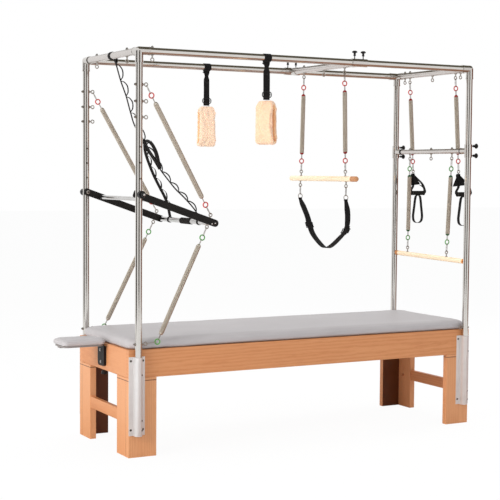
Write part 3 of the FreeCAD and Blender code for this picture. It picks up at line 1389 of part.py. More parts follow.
# Safety strap from the left top tube to the push-through bar
safety_y = -S.safety_aside
wrap_r = tube_r + S.seat_gap
wrap_middle = Vector(-post_x, safety_y, S.canopy_height)
wrap_start = wrap_middle - Y_AXIS * (S.safety_wide / 2)
wrap = Part.makeCylinder(wrap_r + S.safety_thick, S.safety_wide, wrap_start, Y_AXIS)
wrap = wrap.cut(Part.makeCylinder(wrap_r, S.safety_wide, wrap_start, Y_AXIS))
first_way = Vector(0.52, 0, -0.854).normalize()
main_points = [wrap_middle + first_way * (wrap_r + S.safety_thick + 2 * S.seat_gap)]
main_route = [(23.5, 42), (51.5, 132), (84.5, 217), (110.5, 304), (137.5, 380), (194.5, 460)]
main_points += [wrap_middle + Vector(inward, 0, -drop) for inward, drop in main_route]
fork = main_points[-1]
strands = [wrap, ribbon(main_points, S.safety_thick, S.safety_wide, Y_AXIS)]
end_tube = Part.makeCylinder(S.end_tube_radius, 2 * arm_inner, end_middle, Y_AXIS)
for share in (0.645, -0.43):
    low = end_middle + Vector(3, arm_inner * (1 + share), S.end_tube_radius + 1.5 * S.safety_thick)
    way = (low - fork).normalize()
    start = fork + way * (S.safety_wide * 0.75)
    strand = Part.makeBox(S.safety_thick, S.safety_wide * 0.6, (low - start).Length)
    strand.translate(Vector(-S.safety_thick / 2, -S.safety_wide * 0.3, 0))
    strand.Placement = Placement(start, Rotation(Z_AXIS, way)).multiply(strand.Placement)
    strand.translate(Vector(0, 0, S.seat_gap - strand.distToShape(end_tube)[0]))
    strands.append(strand)
group("safety_strap", strands)

# Fleece slings on the top rails
sling_spots = (
    ("rear", 1, -S.sling_rear_from_middle, S.sling_rear_turn),
    ("front", -1, -S.sling_front_from_middle, S.sling_front_turn),
)
for label, side_y, middle_x, turn in sling_spots:
    rail_y = side_y * post_y
    start = Vector(middle_x - S.sling_web_wide / 2, rail_y, S.canopy_height)
    band = Part.makeCylinder(wrap_r + S.sling_web_thick, S.sling_web_wide, start, X_AXIS)
    band = band.cut(Part.makeCylinder(wrap_r, S.sling_web_wide, start, X_AXIS))
    solid("sling_%s_hitch" % label, band)
    strap_top = S.canopy_height - wrap_r - S.sling_web_thick - S.seat_gap * 2
    strap_low = S.sling_fleece_top + S.seat_gap
    strap = Part.makeBox(
        S.sling_web_wide, S.sling_web_thick, strap_top - strap_low,
        Vector(middle_x - S.sling_web_wide / 2, rail_y - S.sling_web_thick / 2, strap_low),
    )
    buckle_y = rail_y - S.sling_web_thick / 2 - S.seat_gap - S.buckle_thick
    buckle = Part.makeBox(
        S.sling_web_wide + 2 * S.buckle_rim, S.buckle_thick, 26,
        Vector(middle_x - S.sling_web_wide / 2 - S.buckle_rim, buckle_y, strap_low + 16),
    )
    group("sling_%s_strap" % label, [strap, buckle])
    faces = []
    half_deep = S.sling_fleece_deep / 2
    centre_z = S.sling_fleece_top - S.sling_fleece_tall + half_deep
    for shrink in (0, S.sling_fleece_thick):
        reach = half_deep - shrink
        top = S.sling_fleece_top - shrink * 1.1
        narrow = S.sling_neck / 2 - shrink * 0.6
        shoulder = S.sling_fleece_top - S.sling_shoulder - shrink * 0.5
        edges = [
            Part.Arc(
                Vector(0, reach, centre_z), Vector(0, 0, centre_z - reach), Vector(0, -reach, centre_z)
            ).toShape(),
            Part.LineSegment(Vector(0, -reach, centre_z), Vector(0, -reach, shoulder)).toShape(),
            Part.LineSegment(Vector(0, -reach, shoulder), Vector(0, -narrow, top)).toShape(),
            Part.LineSegment(Vector(0, -narrow, top), Vector(0, narrow, top)).toShape(),
            Part.LineSegment(Vector(0, narrow, top), Vector(0, reach, shoulder)).toShape(),
            Part.LineSegment(Vector(0, reach, shoulder), Vector(0, reach, centre_z)).toShape(),
        ]
        faces.append(Part.Face(Part.Wire(edges)))
    loop = faces[0].cut(faces[1]).extrude(X_AXIS * S.sling_fleece_wide)
    loop.translate(X_AXIS * (-S.sling_fleece_wide / 2))
    place = Placement(Vector(middle_x, rail_y, 0), Rotation(Z_AXIS, turn))
    loop.Placement = place.multiply(loop.Placement)
    solid("sling_%s_fleece" % label, loop)

doc.recompute()

faults = []
for item in doc.Objects:
    if "Invalid" in item.State or "Error" in item.State:
        faults.append("%s: %s" % (item.Label, item.State))
for label, item in nodes.items():
    if item.Shape.isNull() or not item.Shape.isValid():
        faults.append("%s: no valid shape" % label)
    elif not item.Shape.Solids:
        faults.append("%s: no solid" % label)
if faults:
    raise RuntimeError("; ".join(faults))
for label, item in nodes.items():
    item.Shape.exportStep("parts/%s.step" % label)
box = FreeCAD.BoundBox()
for item in nodes.values():
    box.add(item.Shape.BoundBox)
print("%d parts, %.0f x %.0f x %.0f mm" % (len(nodes), box.XLength, box.YLength, box.ZLength))
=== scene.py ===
import math
import bmesh
import bpy
import numpy as np
from mathutils import Matrix, Vector, noise


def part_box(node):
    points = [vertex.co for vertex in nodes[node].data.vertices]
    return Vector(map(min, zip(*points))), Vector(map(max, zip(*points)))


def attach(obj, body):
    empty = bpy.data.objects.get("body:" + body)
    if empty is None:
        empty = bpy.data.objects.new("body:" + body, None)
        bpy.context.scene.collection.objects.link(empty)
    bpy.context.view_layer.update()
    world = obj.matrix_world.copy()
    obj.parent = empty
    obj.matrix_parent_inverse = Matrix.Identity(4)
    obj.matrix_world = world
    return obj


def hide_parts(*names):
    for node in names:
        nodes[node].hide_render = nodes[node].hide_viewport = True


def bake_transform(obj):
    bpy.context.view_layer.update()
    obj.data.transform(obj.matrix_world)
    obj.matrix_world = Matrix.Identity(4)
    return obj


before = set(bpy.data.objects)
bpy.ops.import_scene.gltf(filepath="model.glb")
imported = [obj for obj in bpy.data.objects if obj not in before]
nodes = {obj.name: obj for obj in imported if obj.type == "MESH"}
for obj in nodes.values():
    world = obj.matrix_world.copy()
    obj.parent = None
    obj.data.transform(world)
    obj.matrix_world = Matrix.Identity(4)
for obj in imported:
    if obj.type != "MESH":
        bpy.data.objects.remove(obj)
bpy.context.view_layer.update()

scene = bpy.context.scene


def at(x, y, z):
    return np.array((x, y, z), float)


X = at(1, 0, 0)
Y = at(0, 1, 0)
Z = at(0, 0, 1)

# Millimetres: axes of the posts and top tubes, height of the eyes under them, the two crossbars,
# the eyes on the left posts, the push-through bar's pivots, the trapeze's lower rings, and two radii
POST_X = 1079.5
POST_Y = 379.0
TOP = 2150.0
EYE_Z = 2106.0
SLIDER_X = 285.0
CROSS_Z = 1660.0
POST_EYE_X = 1040.0
PIVOT_Z = 1400.0
DEE_Z = 1378.0
BARREL = 13.6
EYE = 9.0

# A wave texture of this scale repeats once a metre
WAVE = 0.314


# Colours are written as they look on a screen, 0 to 255
def rgb(red, green, blue):
    out = []
    for part in (red, green, blue):
        part = part / 255
        out.append(part / 12.92 if part <= 0.04045 else ((part + 0.055) / 1.055) ** 2.4)
    return (out[0], out[1], out[2], 1.0)


class Finish:
    """A material with its main shader and short calls that add nodes to it."""

    def __init__(self, name, rough, metal=0.0, colour=(0.5, 0.5, 0.5, 1.0)):
        self.material = bpy.data.materials.new(name)
        self.material.use_nodes = True
        self.tree = self.material.node_tree
        self.shader = self.tree.nodes["Principled BSDF"]
        self.put("Roughness", rough)
        self.put("Metallic", metal)
        self.put("Base Color", colour)
        self.height = None

    def add(self, kind, **values):
        node = self.tree.nodes.new("ShaderNode" + kind)
        for key, value in values.items():
            setattr(node, key, value)
        return node

    def link(self, start, end):
        self.tree.links.new(start, end)

    def put(self, name, value):
        self.shader.inputs[name].default_value = value

    def place(self, scale=(1, 1, 1), turn=(0, 0, 0), move=(0, 0, 0), kind="Object"):
        source = self.add("TexCoord")
        mapping = self.add("Mapping")
        mapping.inputs["Scale"].default_value = scale
        mapping.inputs["Rotation"].default_value = turn
        mapping.inputs["Location"].default_value = move
        self.link(source.outputs[kind], mapping.inputs["Vector"])
        return mapping.outputs["Vector"]

    def split(self):
        """The object's own X, Y and Z."""
        parts = self.add("SeparateXYZ")
        self.link(self.place(), parts.inputs[0])
        return parts.outputs

    def noise(self, where, scale, detail=3.0, rough=0.5, bend=0.0):
        node = self.add("TexNoise")
        node.inputs["Scale"].default_value = scale
        node.inputs["Detail"].default_value = detail
        node.inputs["Roughness"].default_value = rough
        node.inputs["Distortion"].default_value = bend
        self.link(where, node.inputs["Vector"])
        return node.outputs["Fac"]

    def wave(self, where, scale, kind="BANDS", way="X", bend=0.0, bend_scale=1.0, detail=2.0):
        node = self.add("TexWave", wave_type=kind)
        if kind == "BANDS":
            node.bands_direction = way
        else:
            node.rings_direction = way
        node.inputs["Scale"].default_value = scale
        node.inputs["Distortion"].default_value = bend
        node.inputs["Detail"].default_value = detail
        node.inputs["Detail Scale"].default_value = bend_scale
        self.link(where, node.inputs["Vector"])
        return node.outputs["Fac"]

    def ramp(self, value, stops):
        node = self.add("ValToRGB")
        while len(node.color_ramp.elements) < len(stops):
            node.color_ramp.elements.new(0.5)
        for element, (spot, colour) in zip(node.color_ramp.elements, stops):
            element.position = spot
            element.color = colour
        self.link(value, node.inputs["Fac"])
        return node.outputs["Color"]

    def feed(self, pairs):
        for value, socket in pairs:
            if isinstance(value, bpy.types.NodeSocket):
                self.link(value, socket)
            else:
                socket.default_value = value

    def mix(self, share, first, second, kind="MIX"):
        node = self.add("Mix", data_type="RGBA", blend_type=kind)
        self.feed(((share, node.inputs[0]), (first, node.inputs[6]), (second, node.inputs[7])))
        return node.outputs[2]

    def math(self, kind, first, second=0.0):
        node = self.add("Math", operation=kind)
        self.feed(((first, node.inputs[0]), (second, node.inputs[1])))
        return node.outputs[0]

    def fit(self, value, low, high):
        node = self.add("MapRange")
        node.inputs["To Min"].default_value = low
        node.inputs["To Max"].default_value = high
        self.link(value, node.inputs["Value"])
        return node.outputs["Result"]

    def colour(self, value):
        self.link(value, self.shader.inputs["Base Color"])

    def rough(self, value, low, high):
        self.link(self.fit(value, low, high), self.shader.inputs["Roughness"])

    def bump(self, value, depth, strength=1.0):
        node = self.add("Bump")
        node.inputs["Distance"].default_value = depth
        node.inputs["Strength"].default_value = strength
        self.link(value, node.inputs["Height"])
        if self.height is not None:
            self.link(self.height, node.inputs["Normal"])
        self.height = node.outputs["Normal"]
        self.link(self.height, self.shader.inputs["Normal"])


def wood(name, grain, tones, spacing, centre, lean, bend=2.6, joint=None, seam=None, tips=None):
    """Lacquered wood: growth rings round an axis near the board, pores, flecks and a slow change of tone.

    joint is the distance of a glued joint from the middle, seam the height of a dark line between two
    boards, and tips the places and colours of a bar's two ends: orange end grain at one end and a darker
    band of painted shade at the other.
    """
    made = Finish(name, 0.38)
    scale = tuple(0.11 if axis == grain else 1.0 for axis in "XYZ")
    fine = tuple(0.025 if axis == grain else 1.0 for axis in "XYZ")
    where = made.place(scale, lean, tuple(-part for part in centre))
    rings = made.wave(where, WAVE / spacing, "RINGS", grain, bend, 5.0, 3.0)
    base = made.ramp(rings, [(0.0, tones[0]), (0.45, tones[1]), (0.8, tones[1]), (1.0, tones[2])])
    slow = made.noise(made.place(scale), 9.0, 2.0)
    base = made.mix(made.fit(slow, 0.0, 0.55), base, tones[3])
    pores = made.noise(made.place(fine), 900.0, 3.0, 0.7)
    dark = made.ramp(pores, [(0.34, (1, 1, 1, 1)), (0.42, (0, 0, 0, 1))])
    shade = made.mix(0.22, base, tones[4])
    base = made.mix(dark, base, shade)
    streak = made.noise(made.place(fine), 260.0, 2.0)
    base = made.mix(made.fit(streak, 0.0, 0.10), base, tones[1], "MULTIPLY")
    if joint is not None:
        away = made.math("ABSOLUTE", made.math("SUBTRACT", made.math("ABSOLUTE", made.split()["Y"]), joint))
        base = made.mix(made.math("LESS_THAN", away, 0.0011), base, rgb(92, 50, 24))
    if seam is not None:
        away = made.math("ABSOLUTE", made.math("SUBTRACT", made.split()["Z"], seam))
        base = made.mix(made.math("LESS_THAN", away, 0.0018), base, rgb(70, 34, 16))
    # A bar's ends: orange end grain at one, and at the other a darker band that is painted shade
    if tips is not None:
        parts = made.split()
        base = made.mix(made.math("LESS_THAN", parts["Y"], tips[0]), base, tips[1])
        base = made.mix(made.math("GREATER_THAN", parts["Y"], tips[2]), base, tips[3])
    made.colour(base)
    made.rough(pores, 0.52, 0.34)
    made.bump(pores, 0.0002, 0.5)
    made.bump(rings, 0.0002, 0.25)
    made.put("Specular IOR Level", 0.3)
    made.put("Coat Weight", 0.05)
    made.put("Coat Roughness", 0.25)
    return made.material


def brushed(
    name, colour, worn, rough, along=(1, 1, 1), fine=700.0, metal=1.0, shift=0.10, mark=0.25, deep=0.00006,
):
    """Metal with a drawn or brushed surface, faint smears and a little wear."""
    made = Finish(name, rough, metal)
    lines = made.noise(made.place(along), fine, 2.0, 0.6)
    smear = made.noise(made.place(), 14.0, 3.0, 0.6)
    tone = made.mix(made.fit(smear, 0.0, 1.0), colour, worn)
    made.colour(made.mix(made.fit(lines, 0.0, mark), tone, worn))
    both = made.math("MULTIPLY", lines, smear)
    made.rough(both, rough, rough + shift * 2.4)
    made.bump(lines, deep, 0.35)
    return made.material


def coated(name, colour, light, rough, grit=1600.0, depth=0.00008, shine=0.5):
    """Powder coat or moulded plastic: fine orange peel, dust and rubbed lighter patches."""
    made = Finish(name, rough)
    peel = made.noise(made.place(), grit, 2.0)
    patch = made.noise(made.place(), 22.0, 4.0, 0.65)
    tone = made.ramp(patch, [(0.40, colour), (0.75, light)])
    made.colour(made.mix(made.fit(peel, 0.0, 0.4), tone, light))
    made.rough(patch, rough - 0.06, rough + 0.12)
    made.bump(peel, depth, 0.6)
    made.put("Specular IOR Level", shine)
    return made.material


rail_tones = [rgb(211, 149, 102), rgb(206, 142, 95), rgb(197, 131, 85), rgb(198, 132, 85), rgb(150, 88, 48)]
# The legs' and deck's tones are a lighter copy of the rails': painted light, standing for the brighter light
# on the legs' lit faces
lit_wood_tones = [rgb(219, 161, 117), rgb(215, 155, 110), rgb(208, 146, 101), rgb(207, 144, 98), rgb(150, 88, 48)]
bar_tones = [
    rgb(255, 240, 216), rgb(253, 232, 202), rgb(240, 206, 164), rgb(250, 224, 190), rgb(224, 182, 138),
]
trapeze_low, trapeze_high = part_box("trapeze_bar")
roll_low, roll_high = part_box("roll_down_bar")
wood_long = wood("wood_long", "X", rail_tones, 0.018, (0.02, -0.345, 0.485), (0.0, 0.12, 0.20), 3.6)
wood_rear = wood("wood_rear", "X", rail_tones, 0.018, (0.1, 0.38, 0.50), (0.0, 0.09, -0.17), 3.6)
wood_end = wood("wood_end", "Y", rail_tones, 0.015, (1.08, 0.02, 0.47), (0.08, 0.0, 0.11))
lines = {"joint": 0.321, "seam": 0.4105}
wood_leg = wood("wood_leg", "Z", lit_wood_tones, 0.013, (-1.06, -0.34, 0.03), (0.09, 0.06, 0.0), **lines)
wood_leg_two = wood("wood_leg_two", "Z", lit_wood_tones, 0.013, (1.07, -0.33, 0.05), (0.06, 0.08, 0.0), **lines)
wood_deck = wood("wood_deck", "X", lit_wood_tones, 0.010, (0.0, 0.1, 0.52), (0.0, 0.05, 0.1))
# Trapeze bar: a darker 55 mm band of painted shade at its front end, orange end grain at its back end
wood_bar = wood(
    "wood_bar", "Y", bar_tones, 0.0062, (0.27, 0.0, 1.50), (0.05, 0.0, 0.05), 2.0,
    tips=(trapeze_low[1] + 0.055, rgb(192, 138, 98), trapeze_high[1] - 0.004, rgb(226, 160, 104)),
)
# Roll-down bar: orange end grain at its front end, a darker 30 mm band of painted shade at its back end
wood_bar_two = wood(
    "wood_bar_two", "Y", bar_tones, 0.0062, (1.06, 0.0, 1.02), (0.04, 0.0, 0.06), 2.0,
    tips=(roll_low[1] + 0.009, rgb(232, 154, 92), roll_high[1] - 0.030, rgb(186, 126, 78)),
)

polished = {"fine": 260.0, "shift": 0.02, "mark": 0.05, "deep": 0.000001}
tube_up = brushed("tube_up", rgb(222, 219, 215), rgb(206, 202, 196), 0.09, (1, 1, 0.04), **polished)
tube_along = brushed("tube_along", rgb(222, 219, 215), rgb(206, 202, 196), 0.09, (0.04, 1, 1), **polished)
tube_across = brushed("tube_across", rgb(216, 211, 207), rgb(206, 200, 196), 0.26, (1, 0.04, 1), **polished)
fitting = brushed(
    "fitting", rgb(220, 217, 213), rgb(196, 191, 186), 0.15, fine=500.0, shift=0.04, mark=0.12, deep=0.00001,
)
holder = brushed(
    "holder", rgb(236, 234, 233), rgb(220, 217, 216), 0.36, (1, 1, 0.03), 500.0, 0.6, mark=0.14, deep=0.00002,
)
steel = brushed("steel", rgb(212, 209, 203), rgb(160, 153, 145), 0.2, fine=1200.0, mark=0.16, deep=0.00002)
chrome = brushed(
    "chrome", rgb(216, 215, 214), rgb(196, 194, 192), 0.10, (1, 0.05, 1), 500.0, shift=0.04, mark=0.1,
    deep=0.000006,
)
bright = brushed("bright", rgb(226, 225, 223), rgb(190, 188, 185), 0.2, fine=1400.0, mark=0.16, deep=0.00002)
dark_steel = brushed("dark_steel", rgb(96, 88, 80), rgb(64, 58, 52), 0.35)
# A dark core inside each coil: painted shade where the hollow of a real spring is shaded, seen between its
# turns
spring_shade_core = brushed("spring_shade_core", rgb(138, 126, 112), rgb(104, 93, 80), 0.4)
black_steel = coated("black_steel", rgb(19, 17, 16), rgb(33, 30, 28), 0.48, shine=0.2)
black_plastic = coated("black_plastic", rgb(15, 14, 15), rgb(32, 31, 31), 0.36, 900.0, 0.00006, 0.3)
red_coat = coated("red_coat", rgb(184, 26, 24), rgb(206, 62, 54), 0.32, shine=0.35)
red_cap = coated("red_cap", rgb(124, 14, 16), rgb(156, 32, 30), 0.34, shine=0.35)
green_coat = coated("green_coat", rgb(58, 136, 48), rgb(98, 164, 80), 0.32, shine=0.35)
green_cap = coated("green_cap", rgb(22, 66, 34), rgb(40, 92, 50), 0.34, shine=0.35)

# The headrest's board wears the cover's colour, its iron is black
board_finish = Finish("board_finish", 0.5)
board_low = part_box("headrest_pad")[0][2] - 0.0165
board_high = board_finish.math("GREATER_THAN", board_finish.split()["Z"], board_low)
board_grain = board_finish.noise(board_finish.place(), 420.0, 3.0)
board_finish.colour(board_finish.mix(
    board_high,
    board_finish.mix(board_grain, rgb(17, 15, 14), rgb(31, 28, 26)),
    board_finish.mix(board_grain, rgb(124, 118, 116), rgb(140, 134, 132)),
))
board_finish.rough(board_grain, 0.44, 0.6)
board_finish.bump(board_grain, 0.0002, 0.5)
board_finish.put("Specular IOR Level", 0.25)
board_finish = board_finish.material

# Wound wire: grey-brown with a slow change of tone; the darker look between its turns is painted shade, a
# dark core inside each coil
spring_wire = Finish("spring_wire", 0.3, 0.9)
turn_tone = spring_wire.noise(spring_wire.place(), 26.0, 3.0)
spring_wire.colour(spring_wire.mix(turn_tone, rgb(228, 220, 207), rgb(210, 200, 186)))
spring_wire.rough(turn_tone, 0.24, 0.42)
spring_wire.bump(spring_wire.noise(spring_wire.place(), 1500.0, 2.0), 0.00005, 0.4)
spring_wire = spring_wire.material

# Closed cell foam
foam = Finish("foam", 0.82)
cells = foam.noise(foam.place(), 620.0, 4.0, 0.7)
foam.colour(foam.mix(cells, rgb(16, 15, 14), rgb(38, 35, 33)))
foam.rough(cells, 0.7, 0.92)
foam.bump(cells, 0.0006, 0.8)
foam.put("Specular IOR Level", 0.2)
foam = foam.material


def woven(name, dark, light):
    """Woven webbing: ribs across the band and fine cords along it."""
    made = Finish(name, 0.72)
    where = made.place(kind="UV")
    ribs = made.wave(where, WAVE / 0.0021, "BANDS", "X", 0.25, 40.0)
    cords = made.wave(where, WAVE / 0.0016, "BANDS", "Y", 0.2, 40.0)
    weave = made.math("MULTIPLY", ribs, cords)
    wear = made.noise(made.place(), 30.0, 4.0, 0.6)
    tone = made.mix(weave, dark, light)
    made.colour(made.mix(made.fit(wear, 0.0, 0.4), tone, light))
    made.rough(wear, 0.62, 0.84)
    made.bump(weave, 0.0006, 0.8)
    made.put("Specular IOR Level", 0.2)
    made.put("Sheen Weight", 0.05)
    made.put("Sheen Roughness", 0.4)
    return made.material


webbing = woven("webbing", rgb(11, 11, 12), rgb(34, 33, 34))
webbing_worn = woven("webbing_worn", rgb(16, 15, 15), rgb(44, 42, 41))
thread = coated("thread", rgb(60, 58, 57), rgb(96, 93, 90), 0.7, 2500.0)

# Cushion cover: smooth leatherette with fine pebbles and slow rub marks
vinyl = Finish("vinyl", 0.46)
pebble_node = vinyl.add("TexVoronoi", feature="DISTANCE_TO_EDGE")
pebble_node.inputs["Scale"].default_value = 620.0
vinyl.link(vinyl.place(), pebble_node.inputs["Vector"])
pebble = pebble_node.outputs["Distance"]
rub = vinyl.noise(vinyl.place((0.5, 1, 1)), 5.0, 4.0, 0.6)
vinyl_tone = vinyl.ramp(rub, [(0.3, rgb(176, 172, 173)), (0.7, rgb(186, 182, 183))])
vinyl.colour(vinyl.mix(vinyl.fit(pebble, 0.16, 0.0), vinyl_tone, rgb(148, 144, 145)))
vinyl.rough(rub, 0.40, 0.54)
vinyl.bump(pebble, 0.0004, 0.35)
vinyl.bump(vinyl.noise(vinyl.place(), 9.0, 2.0), 0.004, 0.25)
vinyl.put("Specular IOR Level", 0.4)
vinyl = vinyl.material


def pile(name, deep, middle, tips):
    """Fleece: curled pile with painted warm shade in its hollows."""
    made = Finish(name, 0.95)
    curl = made.noise(made.place((1, 1, 0.6)), 170.0, 4.0, 0.65, 1.2)
    fuzz = made.noise(made.place(), 900.0, 3.0, 0.7)
    slow = made.noise(made.place((1, 1, 0.25)), 34.0, 2.0)
    tone = made.ramp(curl, [(0.30, deep), (0.48, middle), (0.7, tips)])
    tone = made.mix(made.fit(fuzz, 0.0, 0.3), tone, tips)
    made.colour(made.mix(made.fit(slow, 0.0, 0.5), tone, middle))
    made.bump(curl, 0.0016, 0.6)
    made.bump(fuzz, 0.0006, 0.5)
    made.put("Specular IOR Level", 0.2)
    made.put("Sheen Weight", 0.25)
    made.put("Sheen Roughness", 0.5)
    made.put("Subsurface Weight", 0.08)
    made.put("Subsurface Radius", (0.012, 0.006, 0.003))
    return made.material


fleece_rear = pile("fleece_rear", rgb(243, 206, 176), rgb(246, 212, 183), rgb(250, 221, 198))
fleece_front = pile("fleece_front", rgb(236, 190, 155), rgb(240, 199, 166), rgb(245, 209, 181))
# Inner faces of the loops: darker and warmer, painted shade for the pile's self-shadow and a painted glow for
# light passing through it
fleece_shaded_inner = pile("fleece_shaded_inner", rgb(232, 168, 114), rgb(240, 184, 134), rgb(246, 202, 160))


# Mesh building, all in millimetres until a piece is made
class Build:
    def __init__(self):
        self.points = []
        self.faces = []
        self.slots = []
        self.lay = []

    def face(self, corners, slot, lay=None):
        self.faces.append(corners)
        self.slots.append(slot)
        self.lay.extend(lay if lay is not None else [(0.0, 0.0)] * len(corners))


def unit(vector):
    vector = np.asarray(vector, float)
    return vector / np.linalg.norm(vector)


def side_of(along):
    """The level sideways direction of something that hangs along that line."""
    return unit(Y - along * float(along @ Y))


def disc(turn):
    """The unit vector at that turn in the level of X and Z, in which straps wrap their tubes."""
    return at(math.cos(turn), 0, math.sin(turn))


def any_side(along):
    start = X if abs(along[0]) < 0.8 else Y
    return unit(start - along * float(along @ start))


def smooth(points, step=6.0, closed=False):
    """A smooth line through the points, sampled about every step."""
    points = [np.asarray(point, float) for point in points]
    count = len(points)
    out = []
    for index in range(count if closed else count - 1):
        near = points[(index - 1) % count] if closed or index > 0 else 2 * points[0] - points[1]
        a = points[index]
        b = points[(index + 1) % count]
        wide = index + 2
        far = points[wide % count] if closed or wide < count else 2 * points[-1] - points[-2]
        pieces = max(2, int(np.linalg.norm(b - a) / step))
        for part in range(pieces):
            t = part / pieces
            out.append(
                0.5 * (
                    2 * a + (b - near) * t + (2 * near - 5 * a + 4 * b - far) * t ** 2
                    + (3 * a - near - 3 * b + far) * t ** 3
                )
            )
    if not closed:
        out.append(points[-1])
    return np.array(out)


def round_wire(radius, count=8):
    turns = [2 * math.pi * index / count for index in range(count)]
    return [(radius * math.cos(turn), radius * math.sin(turn)) for turn in turns]


def band(wide, thick, soft=0.35):
    half = wide / 2
    low = thick / 2
    cut = thick * soft
    return [
        (half - cut, -low), (half, -low + cut), (half, low - cut), (half - cut, low),
        (0, low), (-half + cut, low), (-half, low - cut), (-half, -low + cut), (-half + cut, -low), (0, -low),
    ]


def sweep(build, path, outline, across=None, closed=False, slot=0, size=None):
    """Carries an outline along a path. Across is the direction of the outline's first axis."""
    path = np.asarray(path, float)
    count = len(path)
    if closed:
        along = np.roll(path, -1, 0) - np.roll(path, 1, 0)
    else:
        along = np.gradient(path, axis=0)
    along = along / np.linalg.norm(along, axis=1)[:, None]
    if across is None:
        across = np.zeros((count, 3))
        across[0] = any_side(along[0])
        for index in range(1, count):
            across[index] = unit(across[index - 1] - along[index] * float(along[index] @ across[index - 1]))
    else:
        across = np.asarray(across, float)
        if across.ndim == 1:
            across = np.repeat(across[None, :], count, 0)
    first = across - along * np.sum(across * along, axis=1)[:, None]
    first = first / np.linalg.norm(first, axis=1)[:, None]
    second = np.cross(along, first)
    if size is None:
        size = np.ones((count, 2))
    base = len(build.points)
    wide = len(outline)
    run = np.concatenate([[0.0], np.cumsum(np.linalg.norm(np.diff(path, axis=0), axis=1))]) * 0.001
    for index in range(count):
        for across_part, up_part in outline:
            build.points.append(
                path[index] + first[index] * across_part * size[index][0]
                + second[index] * up_part * size[index][1]
            )
    rows = count if closed else count - 1
    for index in range(rows):
        after = (index + 1) % count
        near_run = run[index]
        far_run = run[after] if after else run[-1] + np.linalg.norm(path[0] - path[-1]) * 0.001
        for part in range(wide):
            beside = (part + 1) % wide
            lay = [
                (near_run, outline[part][0] * 0.001), (near_run, outline[beside][0] * 0.001),
                (far_run, outline[beside][0] * 0.001), (far_run, outline[part][0] * 0.001),
            ]
            build.face(
                (
                    base + index * wide + part, base + index * wide + beside,
                    base + after * wide + beside, base + after * wide + part,
                ),
                slot, lay,
            )
    if not closed:
        build.face(tuple(base + part for part in reversed(range(wide))), slot)
        build.face(tuple(base + (count - 1) * wide + part for part in range(wide)), slot)


def lathe(build, outline, start, along, slot=0, count=24):
    """Turns an outline of (place along, radius) round an axis."""
    start = np.asarray(start, float)
    along = unit(along)
    first = any_side(along)
    second = np.cross(along, first)
    rings = []
    for place, radius in outline:
        middle = start + along * place
        if radius < 1e-6:
            rings.append([len(build.points)])
            build.points.append(middle)
            continue
        rings.append([])
        for index in range(count):
            turn = 2 * math.pi * index / count
            rings[-1].append(len(build.points))
            build.points.append(middle + (first * math.cos(turn) + second * math.sin(turn)) * radius)
    for near, far in zip(rings, rings[1:]):
        for index in range(count):
            beside = (index + 1) % count
            if len(near) == 1 and len(far) == 1:
                continue
            if len(near) == 1:
                build.face((near[0], far[beside], far[index]), slot)
            elif len(far) == 1:
                build.face((near[index], near[beside], far[0]), slot)
            else:
                build.face((near[index], near[beside], far[beside], far[index]), slot)


def ring(build, centre, normal, radius, wire, slot=0, count=32, sides=10):
    normal = unit(normal)
    first = any_side(normal)
    second = np.cross(normal, first)
    path = [
        centre + (first * math.cos(turn) + second * math.sin(turn)) * radius
        for turn in (2 * math.pi * index / count for index in range(count))
    ]
    sweep(build, path, round_wire(wire / 2, sides), normal, True, slot)


def eye_stub(build, eye, way, shank, collar, slot=0):
    """An eye, the shank to its bar, and a washer whose outline is given."""
    ring(build, eye, Y, EYE, 6.0, slot)
    lathe(build, [(8, 4), (shank, 4)], eye, way, slot, 16)
    lathe(build, collar, eye, way, slot, 20)


def hexagon(build, start, along, flats, tall, slot=0):
    """A hexagon nut with chamfered corners."""
    corner = flats / math.sqrt(3)
    outline = [
        (0, 0), (0, corner * 0.96), (0.5, corner), (tall - 0.8, corner), (tall, corner * 0.87), (tall, 0),
    ]
    lathe(build, outline, start, along, slot, 6)


def eyebolt(build, eye, toward, to_surface, through, slot=0, dark=1):
    """An eye, its shank through a tube, washers, and the nut on the far side."""
    eye = np.asarray(eye, float)
    toward = unit(toward)
    ring(build, eye, Y, EYE, 6.0, slot)
    near = eye + toward * to_surface
    far = near + toward * through
    lathe(build, [(8, 4), (10, 4.6), (12, 4), (to_surface + 2, 4)], eye, toward, slot, 16)
    lathe(build, [(-3.2, 0), (-3.2, 7.2), (-0.4, 8.2), (0.6, 8.2)], near, toward, slot, 20)
    lathe(build, [(-0.6, 8.6), (1.0, 8.6), (1.3, 8.2), (1.3, 0)], far, toward, slot, 24)
    hexagon(build, far + toward * 1.3, toward, 13.0, 5.2, slot)
    lathe(build, [(6.0, 4.0), (8.6, 3.9), (9.4, 3.2), (9.4, 0)], far, toward, dark, 14)


def link(build, eye, far_ring, slot=0):
    """A snap link with half round ends and a gate sleeve."""
    along = unit(far_ring - eye)
    side = side_of(along)
    half = 5.1
    near = eye + along * (4.2 + half)
    far = far_ring - along * (9.7 + half)
    path = []
    for centre, sign in ((near, -1.0), (far, 1.0)):
        for index in range(9):
            turn = math.pi * index / 8
            path.append(centre + sign * (side * math.cos(turn) * half + along * math.sin(turn) * half))
    sweep(build, path, round_wire(1.6, 8), None, True, slot)
    middle = (near + far) / 2 + side * half
    lathe(build, [(-5, 1.7), (-4.4, 2.3), (4.4, 2.3), (5, 1.7)], middle, along, slot, 12)


def hook(build, centre, cap, slot=0):
    """The end of the spring's wire, round the ring and back into the cap."""
    along = unit(cap - centre)
    side = side_of(along)
    half = 4.2
    bend = centre + along * 14.0
    reach = float((cap - bend) @ along) + 6
    path = [bend + side * half + along * reach]
    for index in range(9):
        turn = math.pi * index / 8
        path.append(bend + side * math.cos(turn) * half - along * math.sin(turn) * half)
    path.append(bend - side * half + along * reach)
    sweep(build, path, round_wire(1.5, 8), None, False, slot)


